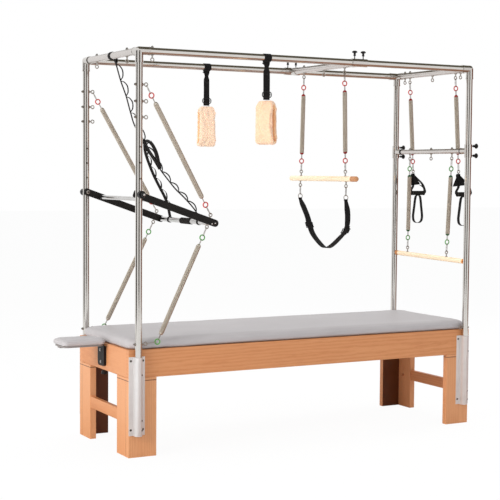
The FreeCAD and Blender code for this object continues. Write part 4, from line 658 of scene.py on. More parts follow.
def coil(build, start, along, length, radius):
    """Close turns of wire from cap to cap, drawn in at both ends, over a dark core that is painted shade."""
    pitch = 2.7
    turns_count = 22
    side = any_side(along)
    other = np.cross(along, side)
    steps = int(length / pitch * turns_count)
    across = ((-0.47, -0.42), (-0.22, 0.0), (0.22, 0.0), (0.47, -0.42))
    base = len(build.points)
    for index in range(steps + 1):
        turn = 2 * math.pi * index / turns_count
        place = length * index / steps
        ease = min(1.0, min(place, length - place) / 6.0)
        wide = radius - 0.8 + 0.8 * math.sin(ease * math.pi / 2)
        out = side * math.cos(turn) + other * math.sin(turn)
        for shift, deep in across:
            build.points.append(start + along * (place + shift * pitch) + out * (wide + deep * pitch))
    for index in range(steps):
        low = base + index * 4
        for part in range(3):
            build.face((low + part, low + 4 + part, low + 5 + part, low + 1 + part), 0)
    # The dark core is painted shade: a solid where the spring is hollow and in shade
    core = radius - 1.15
    lathe(build, [(0, 0), (0, core), (length, core), (length, 0)], start, along, 4, 20)


# Slots of every spring piece: turns, link steel, ring coat, cap coat (or plain wire), dark core of painted
# shade
def spring(build, top_eye, low_eye, low_link=True):
    """Link, coloured ring, hook, cap, turns, and the same again, in a straight line."""
    top_eye = np.asarray(top_eye, float)
    low_eye = np.asarray(low_eye, float)
    along = unit(low_eye - top_eye)
    link_long = 64
    hook_long = 39
    top_ring = top_eye + along * link_long
    low_ring = low_eye - along * link_long if low_link else low_eye
    top_cap = top_ring + along * hook_long
    low_cap = low_ring - along * hook_long
    link(build, top_eye, top_ring, 1)
    if low_link:
        link(build, low_eye, low_ring, 1)
    for centre, cap, way in ((top_ring, top_cap, along), (low_ring, low_cap, -along)):
        ring(build, centre, side_of(way), 14.0, 6.4, 2, 36, 10)
        hook(build, centre, cap, 1)
        wide = BARREL - 1.2
        dome = [(12 * (1 - math.cos(turn)), wide * math.sin(turn)) for turn in np.linspace(0, math.pi / 2, 7)]
        lathe(build, dome + [(13.5, wide), (14.5, wide - 0.8)], cap, way, 3, 24)
    length = float((low_cap - top_cap) @ along) - 24
    coil(build, top_cap + along * 12, along, length, BARREL)


def make(name, build, materials, angle=40.0):
    mesh = bpy.data.meshes.new(name)
    mesh.from_pydata((np.array(build.points) * 0.001).tolist(), [], build.faces)
    for material in materials:
        mesh.materials.append(material)
    mesh.polygons.foreach_set("material_index", build.slots)
    lay = mesh.uv_layers.new(name="lay")
    lay.data.foreach_set("uv", np.array(build.lay, float).ravel())
    mesh.shade_smooth()
    mesh.set_sharp_from_angle(angle=math.radians(angle))
    made = bpy.data.objects.new(name, mesh)
    scene.collection.objects.link(made)
    return made


def piece(name, build, materials, body, node):
    """Makes a piece that rides on its body and stands for its CAD node, where it has them."""
    made = make(name, build, materials)
    if body:
        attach(made, body)
    if node:
        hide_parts(node)
    return made


# The CAD nodes that stay, each with its material
dress = {
    wood_long: ["front_rail"],
    wood_rear: ["rear_rail"],
    wood_end: ["end_rails", "end_stretchers"],
    wood_leg: ["leg_front_left", "leg_rear_left"],
    wood_leg_two: ["leg_front_right", "leg_rear_right"],
    wood_deck: ["bed_deck"],
    wood_bar: ["trapeze_bar"],
    wood_bar_two: ["roll_down_bar"],
    tube_up: ["post_front_left", "post_rear_left", "post_front_right", "post_rear_right"],
    tube_along: ["front_top_rail", "rear_top_rail"],
    tube_across: ["top_cross_tubes"],
    fitting: ["corner_fittings", "slider_sleeves", "crossbar_sleeves"],
    holder: ["post_holders"],
    black_steel: ["headrest_bracket", "push_bar_arms"],
    board_finish: ["headrest_support"],
    black_plastic: ["headrest_knob", "pivot_knob_front", "pivot_knob_rear"] + [
        name for name in nodes if name.startswith(("slider_knob", "crossbar_knob"))
    ],
}
for material, names in dress.items():
    for name in names:
        mesh = nodes[name].data
        mesh.materials.clear()
        mesh.materials.append(material)

# Eyebolts of the frame
build = Build()
for side in (-1, 1):
    for height in (1975, 1888, 1805, 610):
        eyebolt(build, (-POST_EYE_X, side * POST_Y, height), -X, 20.5, 38)
    eyebolt(build, (POST_EYE_X, side * POST_Y, 590), X, 20.5, 38)
for spot_x, spot_y in (
    (-1005, -POST_Y), (-POST_X, 212), (-POST_X, -217), (POST_X, 287), (POST_X, 232), (POST_X, -8),
    (POST_X, -242), (POST_X, -291),
):
    eyebolt(build, (spot_x, spot_y, EYE_Z), Z, 25, 38)
piece("frame_eyes", build, [steel, dark_steel], "frame", "frame_eyebolts")

# Crossbar of the slider, with its eyebolts
build = Build()
lathe(build, [(0, 0), (0, 19), (710, 19), (710, 0)], (SLIDER_X, -355, TOP), Y, 0, 48)
for spot_y in (-230, 0, 230):
    eyebolt(build, (SLIDER_X, spot_y, EYE_Z), Z, 25, 38, 1, 2)
piece("slider_tube", build, [tube_across, steel, dark_steel], "slider", "slider_crossbar")

# Crossbar between the right posts
build = Build()
lathe(build, [(0, 0), (0, 15), (710, 15), (710, 0)], (POST_X, -355, CROSS_Z), Y, 0, 48)
for spot_y in (-219, -7, 219):
    eyebolt(build, (POST_X, spot_y, CROSS_Z - 44), Z, 29, 30, 1, 2)
for side in (-1, 1):
    lathe(
        build, [(0, 15.1), (0, 18.2), (1, 18.8), (7, 18.8), (8, 18.2), (8, 15.1)],
        (POST_X, side * 308, CROSS_Z), (0, side, 0), 3, 40,
    )
piece(
    "roll_down_tube", build, [tube_across, steel, dark_steel, black_plastic],
    "roll_down_crossbar", "crossbar_tube",
)

# Materials of the springs, in the order of their slots: the push-through bar's have no coloured caps
red_set = [spring_wire, steel, red_coat, red_cap, spring_shade_core]
green_set = [spring_wire, steel, green_coat, green_cap, spring_shade_core]
red_plain = [spring_wire, steel, red_coat, spring_wire, spring_shade_core]
green_plain = [spring_wire, steel, green_coat, spring_wire, spring_shade_core]

# Trapeze springs and the metal on its bar
build = Build()
metal = Build()
for side in (-1, 1):
    upper = at(SLIDER_X, side * 251, 1529)
    lower = at(SLIDER_X, side * 260, 1445)
    spring(build, (SLIDER_X, side * 230, EYE_Z), upper)
    for eye, way in ((upper, -Z), (lower, Z)):
        eye_stub(metal, eye, way, 30, [(24.4, 0), (24.4, 7.4), (25.4, 8.4), (27.0, 8.4)])
piece("trapeze_coils", build, red_set, "trapeze", "trapeze_springs")
piece("trapeze_eyes", metal, [steel], "trapeze", "trapeze_links")

# Roll-down springs with the eyes of their bar
build = Build()
tilt = math.radians(1.05)
bar_along = at(0.0, math.cos(tilt), math.sin(tilt))
bar_up = at(0.0, -math.sin(tilt), math.cos(tilt))
bar_middle = at(POST_X, 0.0, 997.5)
for top_y, low in ((219, 231), (-219, -181)):
    eye = bar_middle + bar_along * low + bar_up * 42
    spring(build, (POST_X, top_y, CROSS_Z - 44), eye)
    eye_stub(build, eye, -bar_up, 31, [(25.2, 0), (25.2, 7.4), (26.2, 8.4), (28.0, 8.4)], 1)
piece("roll_down_coils", build, green_set, "roll_down", "roll_down_springs")

# Arm springs and their handles
lean = math.radians(3.6)
arm_way = at(math.sin(lean), 0.0, -math.cos(lean))
for label, eye_y in (("rear", 232.0), ("front", -242.0)):
    build = Build()
    top = at(POST_X, eye_y, EYE_Z)
    low = top + arm_way * 572
    spring(build, top, low)
    ring(build, low, Y, EYE, 6.0, 1)
    body = "arm_spring_" + label
    piece("arm_coil_" + label, build, red_set, body, body)

    build = Build()
    grip = low + at(40.0, 0.0, -139.0)
    tip = low + Z * -12.6
    web = band(24.5, 2.6)
    route = [
        tip + at(-3.5, 0, -1.5), tip + at(-10, 0, -14), grip + at(-38, 0, 52),
        grip + at(-54, 0, 19), grip + at(-54.5, 0, 3), grip + at(-46, 0, 0),
        grip + at(0, 0, 0), grip + at(46, 0, 0), grip + at(54.5, 0, 3),
        grip + at(54, 0, 19), grip + at(30, 0, 62), tip + at(8, 0, -14),
        tip + at(3.5, 0, -1.5),
    ]
    sweep(build, smooth(route, 4.0), web, Y)
    crown = smooth([tip + at(-6, 0, -3.0), tip + at(0, 0, -1.4), tip + at(6, 0, -3.0)], 2.0)
    sweep(build, crown, band(24.5, 2.4), Y)
    rows = 12
    heights = np.linspace(-2.0, -75.0, rows)
    panel = [tip + at(drop * -0.09, 0, drop) for drop in heights]
    size = np.array([(0.10 + 0.90 * (index / (rows - 1.0)) ** 0.9, 1.0) for index in range(rows)])
    sweep(build, panel, band(100, 2.2, 0.2), X, False, 0, size)
    curl = [
        grip + at(50, 0, 13), grip + at(50.5, 0, 24), grip + at(43, 0, 36),
        grip + at(26, 0, 47), grip + at(17, 0, 50),
    ]
    sweep(build, smooth(curl, 4.0), band(20, 2.2), Y)
    lathe(
        build,
        [(-50, 0), (-50, 12.6), (-49, 13.8), (-46, 14), (46, 14), (49, 13.8), (50, 12.6), (50, 0)],
        grip, X, 1, 32,
    )
    for place in (-47, 47):
        lathe(build, [(-1.2, 14.0), (-0.8, 14.9), (0.8, 14.9), (1.2, 14.0)], grip + X * place, X, 2, 32)
    top_z = -14.6
    half = [(15, 5), (22, 30), (27, 68), (32.5, 108), (35.5, 138), (30, 164), (15, 176.4)]
    whole = [(0, 0)] + half + [(0, 178.2)] + [(-x, drop) for x, drop in reversed(half)]
    loop = [grip + at(x, 0, top_z - drop) for x, drop in whole]
    sweep(build, smooth(loop, 4.0, True), web, Y, True)
    for row in range(7):
        for sign in (-1, 1):
            spot = grip + at(-8 + row * 2.6, sign * 8.0, top_z + 0.8)
            lathe(build, [(-0.9, 0.0), (-0.5, 0.5), (0.5, 0.5), (0.9, 0.0)], spot, X, 2, 6)
    body = "arm_handle_" + label
    piece("handle_" + label, build, [webbing, foam, thread], body, body)

# Foot strap of the trapeze
build = Build()
for spot_y in (260.0, -260.0):
    eye = at(SLIDER_X, spot_y, 1445)
    dee = at(SLIDER_X, spot_y, DEE_Z)
    link(build, eye, dee, 1)
    ring(build, dee, Y, 14.0, 5.0, 1, 36, 10)
route = [
    (260, -17.8), (222, -62), (170, -127), (116, -217), (36, -274), (-40, -304), (-114, -286), (-239, -211),
    (-275, -170), (-282, -110), (-274, -60), (-260, -17.8),
]
path = smooth([(SLIDER_X, y, DEE_Z + drop) for y, drop in route], 8.0)
count = len(path)
spin = np.zeros(count)
for index in range(count):
    share = index / (count - 1)
    spin[index] = 0.10 * math.sin(share * 9.0) + 0.5 * math.exp(-((share - 0.80) / 0.035) ** 2)
across = np.array([(math.cos(turn), math.sin(turn) * 0.7, math.sin(turn) * 0.7) for turn in spin])
narrow = np.ones((count, 2))
for index in range(count):
    end = min(index, count - 1 - index) / 6.0
    narrow[index][0] = 0.58 + 0.42 * min(1.0, end)
sweep(build, path, band(39.5, 2.8), across, False, 0, narrow)
for spot_y in (260.0, -260.0):
    turns = [math.radians(angle) for angle in range(-128, 129, 16)]
    loop = [(SLIDER_X, spot_y + 4.2 * math.sin(turn), DEE_Z - 14.3 + 4.2 * math.cos(turn)) for turn in turns]
    sweep(build, loop, band(23, 2.0), X)
frames = []
for first, second in ((2, 3), (7, 8)):
    a, b = (at(SLIDER_X, route[spot][0], DEE_Z + route[spot][1]) for spot in (first, second))
    along = unit(b - a)
    under = np.cross(along, X)
    if under[2] > 0:
        under = -under
    frames.append(((a + b) / 2, along, under))
for middle, along, under in frames:
    place = middle + under * 5.0
    corner = [(-17, -23), (-12, -24), (12, -24), (17, -23), (17, 23), (12, 24), (-12, 24), (-17, 23)]
    loop = smooth([place + along * u + X * v for u, v in corner], 4.0, True)
    wire = [(-2.2, -1.6), (2.2, -1.6), (2.6, 0), (2.2, 1.6), (-2.2, 1.6), (-2.6, 0)]
    sweep(build, loop, wire, under, True, 2)
    sweep(build, [place - X * 23, place, place + X * 23], round_wire(2.3, 8), None, False, 2)
    cover = smooth(
        [middle - along * 36 + under * 1.6, middle - along * 20 + under * 4.0, middle + under * 7.4,
         middle + along * 20 + under * 4.0, middle + along * 34 + under * 1.6],
        5.0,
    )
    sweep(build, cover, band(38.5, 2.2), X)
piece(
    "trapeze_foot_strap", build, [webbing, steel, black_plastic], "trapeze_strap", "trapeze_strap",
)

# Push-through bar: tubes, nuts, eyes and foam
slope = math.radians(18.8)
down = at(math.cos(slope), 0.0, -math.sin(slope))
up = at(math.sin(slope), 0.0, math.cos(slope))
pivot = at(-POST_X, 0, PIVOT_Z)
build = Build()
brace = pivot + down * 86
lathe(build, [(-349, 0), (-349, 12), (349, 12), (349, 0)], brace, Y, 0, 40)
for side in (-1, 1):
    sleeve = [(0, 12.1), (0, 14.4), (1, 15), (25, 15), (26, 14.4), (26, 12.1)]
    lathe(build, sleeve, brace + Y * side * 322, (0, side, 0), 2, 40)
end = pivot + down * 487.5
lathe(build, [(-349, 0), (-349, 15), (349, 15), (349, 0)], end, Y, 0, 44)
arm_eyes = {}
for side in (-1, 1):
    inner = pivot + Y * side * 349
    lathe(build, [(-0.1, 5.1), (-0.1, 10.5), (1.4, 10.5), (1.6, 10), (1.6, 5.1)], inner, (0, -side, 0), 1, 28)
    hexagon(build, inner - Y * side * 1.5, (0, -side, 0), 17.0, 6.4, 1)
    line = pivot + down * 447 + Y * side * 354
    for hand in (1, -1):
        eye = line + up * 34 * hand
        arm_eyes[(side, hand)] = eye
        eye_stub(build, eye, -up * hand, 15.5, [(12.8, 0), (12.8, 6.6), (13.4, 7.4), (15.2, 7.4)], 1)
piece("push_bar_metal", build, [chrome, steel, black_plastic], "push_bar", "push_bar_tubes")
build = Build()
lathe(
    build,
    [(-65, 15.1), (-65, 16.8), (-63.6, 18)] + [(u, 18 + 0.12 * math.sin(u)) for u in range(-60, 61, 6)]
    + [(63.6, 18), (65, 16.8), (65, 15.1)],
    end, Y, 0, 40,
)
piece("push_bar_foam", build, [foam], "push_bar", "push_bar_grip")

# Small fixings of the push-through bar: screws in the rounded ends and a cap on each knob
build = Build()
for side in (-1, 1):
    for along_arm, rise in ((487.5, 0.0), (470.0, -9.0)):
        spot = pivot + down * along_arm + up * rise + Y * side * 358.6
        head = [(0, 0), (0, 5.2), (1.0, 5.0), (2.4, 3.4), (2.6, 2.2), (1.6, 2.0), (1.6, 0)]
        lathe(build, head, spot, (0, side, 0), 0, 20)
piece("push_bar_screws", build, [bright], "push_bar", None)
for side, label in ((-1, "front"), (1, "rear")):
    build = Build()
    spot = at(-POST_X, side * 449.05, PIVOT_Z)
    lathe(build, [(-1.0, 0), (-1.0, 6.6), (0.5, 6.6), (1.4, 5.4), (1.8, 0)], spot, (0, side, 0), 0, 24)
    for turn in np.linspace(0, 2 * math.pi, 14, endpoint=False):
        rib = spot + disc(turn) * 19.4
        lathe(build, [(-48, 0), (-47, 1.4), (-28, 1.4), (-27, 0)], rib, (0, side, 0), 1, 8)
    piece("pivot_cap_" + label, build, [bright, black_plastic], "pivot_knob_" + label, None)

# Springs between the posts and the push-through bar
for side, label in ((-1, "front"), (1, "rear")):
    build = Build()
    post_eye = at(-POST_EYE_X, side * POST_Y, 1975)
    spring(build, post_eye, arm_eyes[(side, 1)])
    made = piece("upper_coil_" + label, build, red_plain, None, "push_springs")
    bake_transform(made)
    build = Build()
    foot_eye = at(-POST_EYE_X, side * POST_Y, 610)
    foot_ring = foot_eye + at(72, -side * 4, 7)
    spring(build, arm_eyes[(side, -1)], foot_ring, False)
    link(build, foot_eye, foot_ring, 1)
    made = piece("lower_coil_" + label, build, green_plain, None, "push_springs")
    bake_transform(made)

# Safety strap: a chain of sewn loops that forks into two
build = Build()
wrap = at(-POST_X, -8, TOP)
path = [wrap + disc(turn) * 20.9 for turn in np.linspace(0, 2 * math.pi, 40, endpoint=False)]
sweep(build, path, band(24.5, 2.6), Y, True)
way = unit((0.52, 0, -0.854))
knots = ((23.5, 42), (51.5, 132), (84.5, 217), (110.5, 304), (137.5, 380), (194.5, 460))
main = [wrap + way * 23.2] + [wrap + at(a, 0, -b) for a, b in knots]
flat = smooth(main, 6.0)
taper = [(1.0 - 0.38 * min(1.0, index / 8.0), 1.0) for index in range(len(flat))]
sweep(build, flat, band(24.0, 2.4), Y, False, 0, taper)
for first, second in zip(main[1:], main[2:]):
    along = unit(second - first)
    out = unit(np.cross(along, Y))
    if out[0] < 0:
        out = -out
    length = float(np.linalg.norm(second - first))
    bulge = ((3, 2), (length * 0.16, 17), (length * 0.45, 27), (length * 0.8, 19), (length - 3, 2))
    arc = [first + along * on + out * off for on, off in bulge]
    sweep(build, smooth(arc, 5.0), band(14.5, 2.2), Y)
    for offset in (-3, 0, 3):
        spot = first + along + Y * offset
        lathe(build, [(-5, 0), (-4, 1.2), (4, 1.2), (5, 0)], spot, along, 1, 8)
fork = main[-1]
for lean, rise in ((0, 0), (7, 0.6), (-7, -0.6)):
    middle = fork + at(lean * 0.4, lean * 0.5, -6 + rise)
    path = [
        middle + at(math.cos(turn) * 7, math.sin(turn) * 9, math.sin(turn + lean) * 9)
        for turn in np.linspace(0, 2 * math.pi, 18, endpoint=False)
    ]
    sweep(build, path, band(13, 3.2), None, True, 0)
# Two strands: how far out on the bar each ends, and its way there
runs = (
    (0.645, (
        (-850, 60, 1632), (-808, 104, 1569), (-766, 130, 1501), (-724, 141, 1433), (-690, 150, 1381),
        (-660, 168, 1330),
    )),
    (-0.46, (
        (-868, -6, 1664), (-828, -4, 1600), (-788, -4, 1536), (-749, -30, 1475), (-718, -60, 1425),
        (-690, -108, 1381), (-662, -150, 1334), (-640, -164, 1300),
    )),
)
toward_view = at(0.477, 0.877, -0.06)
for share, spots_on in runs:
    low = end + at(0, 349 * share, 17.4)
    line = smooth([fork - Z * 8, *spots_on, low], 6.0)
    strand = unit(low - fork)
    flat_side = unit(np.cross(strand, (1.0, 0.0, 0.3)))
    broad = unit(np.cross(strand, toward_view)) if share > 0 else flat_side
    sweep(build, line, band(16.0 if share > 0 else 14.5, 2.6), broad)
    count = 6
    out = unit(np.cross(flat_side, strand))
    if out[2] < 0:
        out = -out
    for index in range(count):
        a, b = (line[int((len(line) - 1) * (0.08 + 0.84 * part / count))] for part in (index, index + 1))
        bulge = ((0, 1.6), (0.2, 14), (0.5, 20), (0.82, 13), (1, 1.6))
        arc = smooth([a + (b - a) * on + out * off for on, off in bulge], 5.0)
        sweep(build, arc, band(13.5, 2.2), flat_side)
    turns = np.linspace(0, 2 * math.pi, 30, endpoint=False)
    path = [at(end[0], low[1], end[2]) + disc(turn) * 16.6 for turn in turns]
    sweep(build, path, band(15, 2.6), Y, True)
crotch = at(-788, -4, 1536)
apex = at(-884, -78, 1686)
for corners in (
    ((-872, 6, 1664), (-846, 10, 1630), (-812, 2, 1578)),
    ((-866, -86, 1660), (-842, -76, 1622), (-812, -40, 1570)),
):
    path = smooth([apex, *corners, crotch], 6.0)
    sweep(build, path, band(19, 2.6), unit(np.cross(unit(crotch - apex), toward_view)))
sweep(build, [fork + at(0, -4, -2), (fork + apex) / 2 + Z * 3, apex], band(16, 2.6), Z)
for down_share in (0.0, 0.5, 1.0):
    aside = down_share - 0.5
    path = [
        wrap + at(20.5, aside * 9, 8 - 10 * down_share), wrap + at(27, aside * 13, -12 - 4 * down_share),
        wrap + at(27 - 3 * down_share, aside * 15, -32), wrap + at(24, 0, -46),
    ]
    sweep(build, smooth(path, 4.0), band(15, 2.2), Y)
made = piece("safety_loops", build, [webbing_worn, thread], None, "safety_strap")
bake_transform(made)

# Straps of the two slings
for label, side, sling_x in (("rear", 1, -308.0), ("front", -1, -318.0)):
    rail = at(sling_x, side * POST_Y, TOP)
    build = Build()
    for turns, radius, wide, thick, closed in (
        (np.linspace(0, 2 * math.pi, 44, endpoint=False), 20.9, 44, 2.8, True),
        (np.linspace(-2.4, 0.9, 18), 23.6, 38, 2.2, False),
    ):
        path = [rail + at(0, math.cos(turn), math.sin(turn)) * radius for turn in turns]
        sweep(build, path, band(wide, thick), X, closed, 0)
    corner = ((-20, -22.6), (-12, -30), (-3, -42), (1, -54))
    fold = smooth([rail + at(along, -side * 2, drop) for along, drop in corner], 3.0)
    size = [(1.0 - 0.055 * min(index, 12), 1.0) for index in range(len(fold))]
    sweep(build, fold, band(26, 2.2), X, False, 0, size)
    body = "sling_%s_hitch" % label
    piece("sling_wrap_" + label, build, [webbing], body, body)
    build = Build()
    rows = 34
    path = []
    size = np.ones((rows, 2))
    spin = []
    for index, height in enumerate(np.linspace(TOP - 23.4, 1919.5, rows)):
        share = index / (rows - 1)
        path.append(rail + at(0, 0.6 * math.sin(share * 7), height - TOP))
        size[index][0] = 1.0 - 0.36 * math.exp(-((height - 2096) / 14) ** 2)
        turn = 0.10 * math.sin(share * 3.1) * side
        spin.append((math.cos(turn), math.sin(turn), 0))
    sweep(build, path, band(39.6, 2.8), np.array(spin), False, 0, size)
    keeper = rail + at(0.0, 0.0, 1948 - TOP)
    loop = [keeper + at(u, -4.6, v) for u, v in ((-22.5, -13), (22.5, -13), (22.5, 13), (-22.5, 13))]
    wire = [(-2.1, -2.1), (2.1, -2.1), (2.5, 0), (2.1, 2.1), (-2.1, 2.1), (-2.5, 0)]
    sweep(build, smooth(loop, 4.0, True), wire, Y, True, 1)
    sweep(build, [keeper + at(u, -4.6, 0) for u in (-22, 0, 22)], round_wire(2.2, 8), None, False, 1)
    heights = ((34, 1.8), (16, 4.4), (0, 7.0), (-14, 4.6), (-26, 2.0))
    cover = [keeper + at(0, -out, rise) for rise, out in heights]
    sweep(build, smooth(cover, 4.0), band(36.5, 2.2), X)
    for row in range(9):
        for height in (2062, 2056, 1984):
            spot = rail + at(-14 + row * 3.5, -1.5, height - TOP)
            lathe(build, [(-1.2, 0), (-0.8, 0.5), (0.8, 0.5), (1.2, 0)], spot, X, 2, 6)
    materials = [webbing, black_plastic, thread]
    piece("sling_web_" + label, build, materials, "sling_" + label, "sling_%s_strap" % label)


# Padded pieces start from the space of their solid, swell in a short cloth run, and are shaped after it
def clean_copy(node, name):
    mesh = nodes[node].data.copy()
    mesh.name = name
    work = bmesh.new()
    work.from_mesh(mesh)
    bmesh.ops.remove_doubles(work, verts=work.verts, dist=0.00002)
    work.to_mesh(mesh)
    work.free()
    mesh.materials.clear()
    made = bpy.data.objects.new(name, mesh)
    scene.collection.objects.link(made)
    return made


def bake(made):
    graph = bpy.context.evaluated_depsgraph_get()
    mesh = bpy.data.meshes.new_from_object(made.evaluated_get(graph))
    made.modifiers.clear()
    old = made.data
    made.data = mesh
    bpy.data.meshes.remove(old)


def points_of(mesh):
    spots = np.empty(len(mesh.vertices) * 3)
    mesh.vertices.foreach_get("co", spots)
    return spots.reshape(-1, 3)


def set_points(mesh, spots):
    mesh.vertices.foreach_set("co", spots.ravel())
    mesh.update()


def normals_of(mesh):
    ways = np.empty(len(mesh.vertices) * 3)
    mesh.vertices.foreach_get("normal", ways)
    return ways.reshape(-1, 3)


def swell(made, voxel, inset, cap, force):
    """Remesh, draw in, blow up as cloth for twenty steps, and hold each point near its start."""
    remesh = made.modifiers.new("remesh", "REMESH")
    remesh.mode = "VOXEL"
    remesh.voxel_size = voxel
    bake(made)
    start = points_of(made.data)
    set_points(made.data, start - normals_of(made.data) * inset)
    steps = 20
    cloth = made.modifiers.new("cloth", "CLOTH")
    cloth.settings.quality = 4
    cloth.settings.use_pressure = True
    cloth.settings.uniform_pressure_force = force
    cloth.settings.effector_weights.gravity = 0.0
    cloth.settings.tension_stiffness = 20
    cloth.settings.compression_stiffness = 20
    cloth.settings.bending_stiffness = 1.0
    cloth.point_cache.frame_start = 1
    cloth.point_cache.frame_end = steps
    for step in range(1, steps + 1):
        scene.frame_set(step)
    bake(made)
    scene.frame_set(1)
    moved = points_of(made.data) - start
    far = np.linalg.norm(moved, axis=1)
    share = np.where(far > cap, cap / np.maximum(far, 1e-9), 1.0)
    set_points(made.data, start + moved * share[:, None])
    made.modifiers.new("finer", "SUBSURF").levels = 1
    bake(made)
    made.data.shade_smooth()


def soft_noise(spots, size, seed):
    moved = spots / size + (seed, -seed, 0)
    return np.array([noise.noise(Vector(spot)) for spot in moved])


def near_box(made, node, spots, low_z):
    """Keeps a cushion's points near the box of its solid, and gives it its cover."""
    low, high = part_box(node)
    for axis in (0, 1):
        spots[:, axis] = np.clip(spots[:, axis], low[axis] - 0.001, high[axis] + 0.001)
    spots[:, 2] = np.clip(spots[:, 2], low_z, high[2] + 0.002)
    set_points(made.data, spots)
    made.data.materials.append(vinyl)


# Mattress: pleats round its corners, a seam line under its edge and a slow unevenness on top
mattress = clean_copy("mattress", "mattress_cover")
swell(mattress, 0.011, 0.002, 0.005, 3.0)
spots = points_of(mattress.data)
ways = normals_of(mattress.data)
past_x = np.abs(spots[:, 0]) - 1.06
past_y = np.abs(spots[:, 1]) - 0.293
corner = np.maximum(0, past_x) + np.maximum(0, past_y)
turn = np.arctan2(past_y, past_x)
pleat = np.sin(turn * 26.0) * 0.0011 * np.clip(corner / 0.05, 0, 1)
pleat = pleat * np.clip((0.620 - spots[:, 2]) / 0.02, 0, 1)
edge = np.clip(1 - np.abs(spots[:, 2] - 0.6185) / 0.0032, 0, 1) * 0.0012
slow = soft_noise(spots, 0.16, 3.0) * 0.0012 * np.clip((spots[:, 2] - 0.60) / 0.03, 0, 1)
spots = spots + ways * (pleat - edge + slow)[:, None]
near_box(mattress, "mattress", spots, 0.5763)
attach(mattress, "frame")
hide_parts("mattress")

# Headrest pad, with a seam line
pad = clean_copy("headrest_pad", "headrest_cushion")
swell(pad, 0.005, 0.002, 0.004, 4.0)
spots = points_of(pad.data)
ways = normals_of(pad.data)
edge = np.clip(1 - np.abs(spots[:, 2] - 0.596) / 0.0026, 0, 1) * 0.0010
spots = spots - ways * edge[:, None]
near_box(pad, "headrest_pad", spots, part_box("headrest_pad")[0][2])
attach(pad, "headrest")
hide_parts("headrest_pad")

# Fleece loops: folds, curls, rounded shoulders, and painted shade, darker and warmer, on their inner faces
for label, side, sling_x, turn in (("rear", 1, -0.308, -14.0), ("front", -1, -0.318, -50.0)):
    soft = clean_copy("sling_%s_fleece" % label, "fleece_loop_" + label)
    swell(soft, 0.005, 0.002, 0.006, 4.0)
    soft.modifiers.new("finer", "SUBSURF").levels = 1
    bake(soft)
    spots = points_of(soft.data)
    ways = normals_of(soft.data)
    wide = at(math.cos(math.radians(turn)), math.sin(math.radians(turn)), 0)
    across_way = at(-wide[1], wide[0], 0)
    centre = at(sling_x, side * 0.379, 0)
    place = (spots - centre) @ wide
    deep = (spots - centre) @ across_way
    box_low, box_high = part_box("sling_%s_fleece" % label)
    out_deep = np.clip(np.abs(deep) / 0.035, 0, 1)
    sway = np.sin(spots[:, 2] * 24.0 + (0.4 if label == "rear" else 2.2)) * 0.75
    fold = -(1 - np.abs(np.sin(place * 44 + sway + 0.5))) ** 2 * 0.0034 * out_deep
    fold = fold + np.sin(place * 150 + deep * 30 + spots[:, 2] * 9.0) * 0.0006 * out_deep
    curls = soft_noise(spots, 0.020, 5.0) * 0.0022 + soft_noise(spots, 0.0075, 9.0) * 0.0010
    edge = np.clip((np.abs(place) - 0.040) / 0.016, 0, 1) ** 2 * 0.004
    spots = spots + ways * (fold + curls - edge)[:, None]
    spots[:, 2] = np.minimum(spots[:, 2], box_high[2])
    near_top = np.clip((box_high[2] - spots[:, 2]) / 0.046, 0, 1)
    near_low = np.clip((spots[:, 2] - box_low[2]) / 0.022, 0, 1)
    shrink = 0.50 + 0.50 * np.sqrt(1 - (1 - near_top) ** 2)
    shrink = shrink * (0.86 + 0.14 * np.sqrt(1 - (1 - near_low) ** 2))
    shrink = shrink * (0.93 + 0.07 * np.clip((2.0 - spots[:, 2]) / 0.3, 0, 1))
    place = (spots - centre) @ wide
    spots = spots + (place * (shrink - 1))[:, None] * wide[None, :]
    set_points(soft.data, spots)
    ways = normals_of(soft.data)
    deep = (spots - centre) @ across_way
    high_mid = (box_low[2] + box_high[2]) / 2
    # Faces turned toward the inside of a loop take the darker, warmer material: painted shade
    toward = -(ways @ across_way) * np.sign(deep) - ways[:, 2] * np.sign(spots[:, 2] - high_mid) * 0.8
    inside = toward > 0.45
    marks = np.zeros(len(soft.data.polygons), int)
    for face in soft.data.polygons:
        if sum(bool(inside[corner]) for corner in face.vertices) * 2 >= len(face.vertices):
            marks[face.index] = 1
    soft.data.shade_smooth()
    soft.data.materials.append(fleece_rear if label == "rear" else fleece_front)
    soft.data.materials.append(fleece_shaded_inner)
    soft.data.polygons.foreach_set("material_index", marks)
    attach(soft, "sling_" + label)
    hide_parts("sling_%s_fleece" % label)

# Small fixings on the frame: screws of the post holders' flanges and sockets, and bolts of the headrest
# bracket
build = Build()


def dark_screw(spot, way, radius):
    head = [
        (-1.0, 0), (-1.0, radius), (0.3, radius), (1.4, radius * 0.86), (2.1, radius * 0.5),
        (1.2, radius * 0.42), (1.2, 0),
    ]
    lathe(build, head, spot, way, 1, 20)


for side_x in (-1, 1):
    for side_y in (-1, 1):
        middle = at(side_x * POST_X, side_y * POST_Y, 0.0)
        for height in (519, 150):
            for offset in (-35, 35):
                dark_screw(middle + at(offset, -side_y * 19, height), (0, side_y, 0), 6.2)
        for height in (446, 203, 150):
            way = unit((1, side_y, 0))
            dark_screw(middle + Z * height + way * 21.8, way, 5.4)
iron_low, iron_high = (np.array(part) * 1000 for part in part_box("headrest_bracket"))
bolt_head = [
    (-0.5, 0), (-0.5, 8.2), (1.0, 8.2), (1.2, 6.6), (4.4, 6.4), (4.8, 5.4), (4.8, 3.4), (2.8, 3.2), (2.8, 0),
]
for height, offset in ((iron_high[2] - 24, 4), (iron_low[2] + 22, -4)):
    lathe(build, bolt_head, (iron_low[0], (iron_low[1] + iron_high[1]) / 2 + offset, height), -X, 0, 24)
# Dark rings at the ends of the left cross tube
for spot_y in (314.0, -322.0):
    lathe(build, [(-1.6, 18.7), (-1.6, 19.9), (1.6, 19.9), (1.6, 18.7)], (-POST_X, spot_y, TOP), Y, 1, 40)
piece("frame_screws", build, [bright, dark_steel], "frame", None)

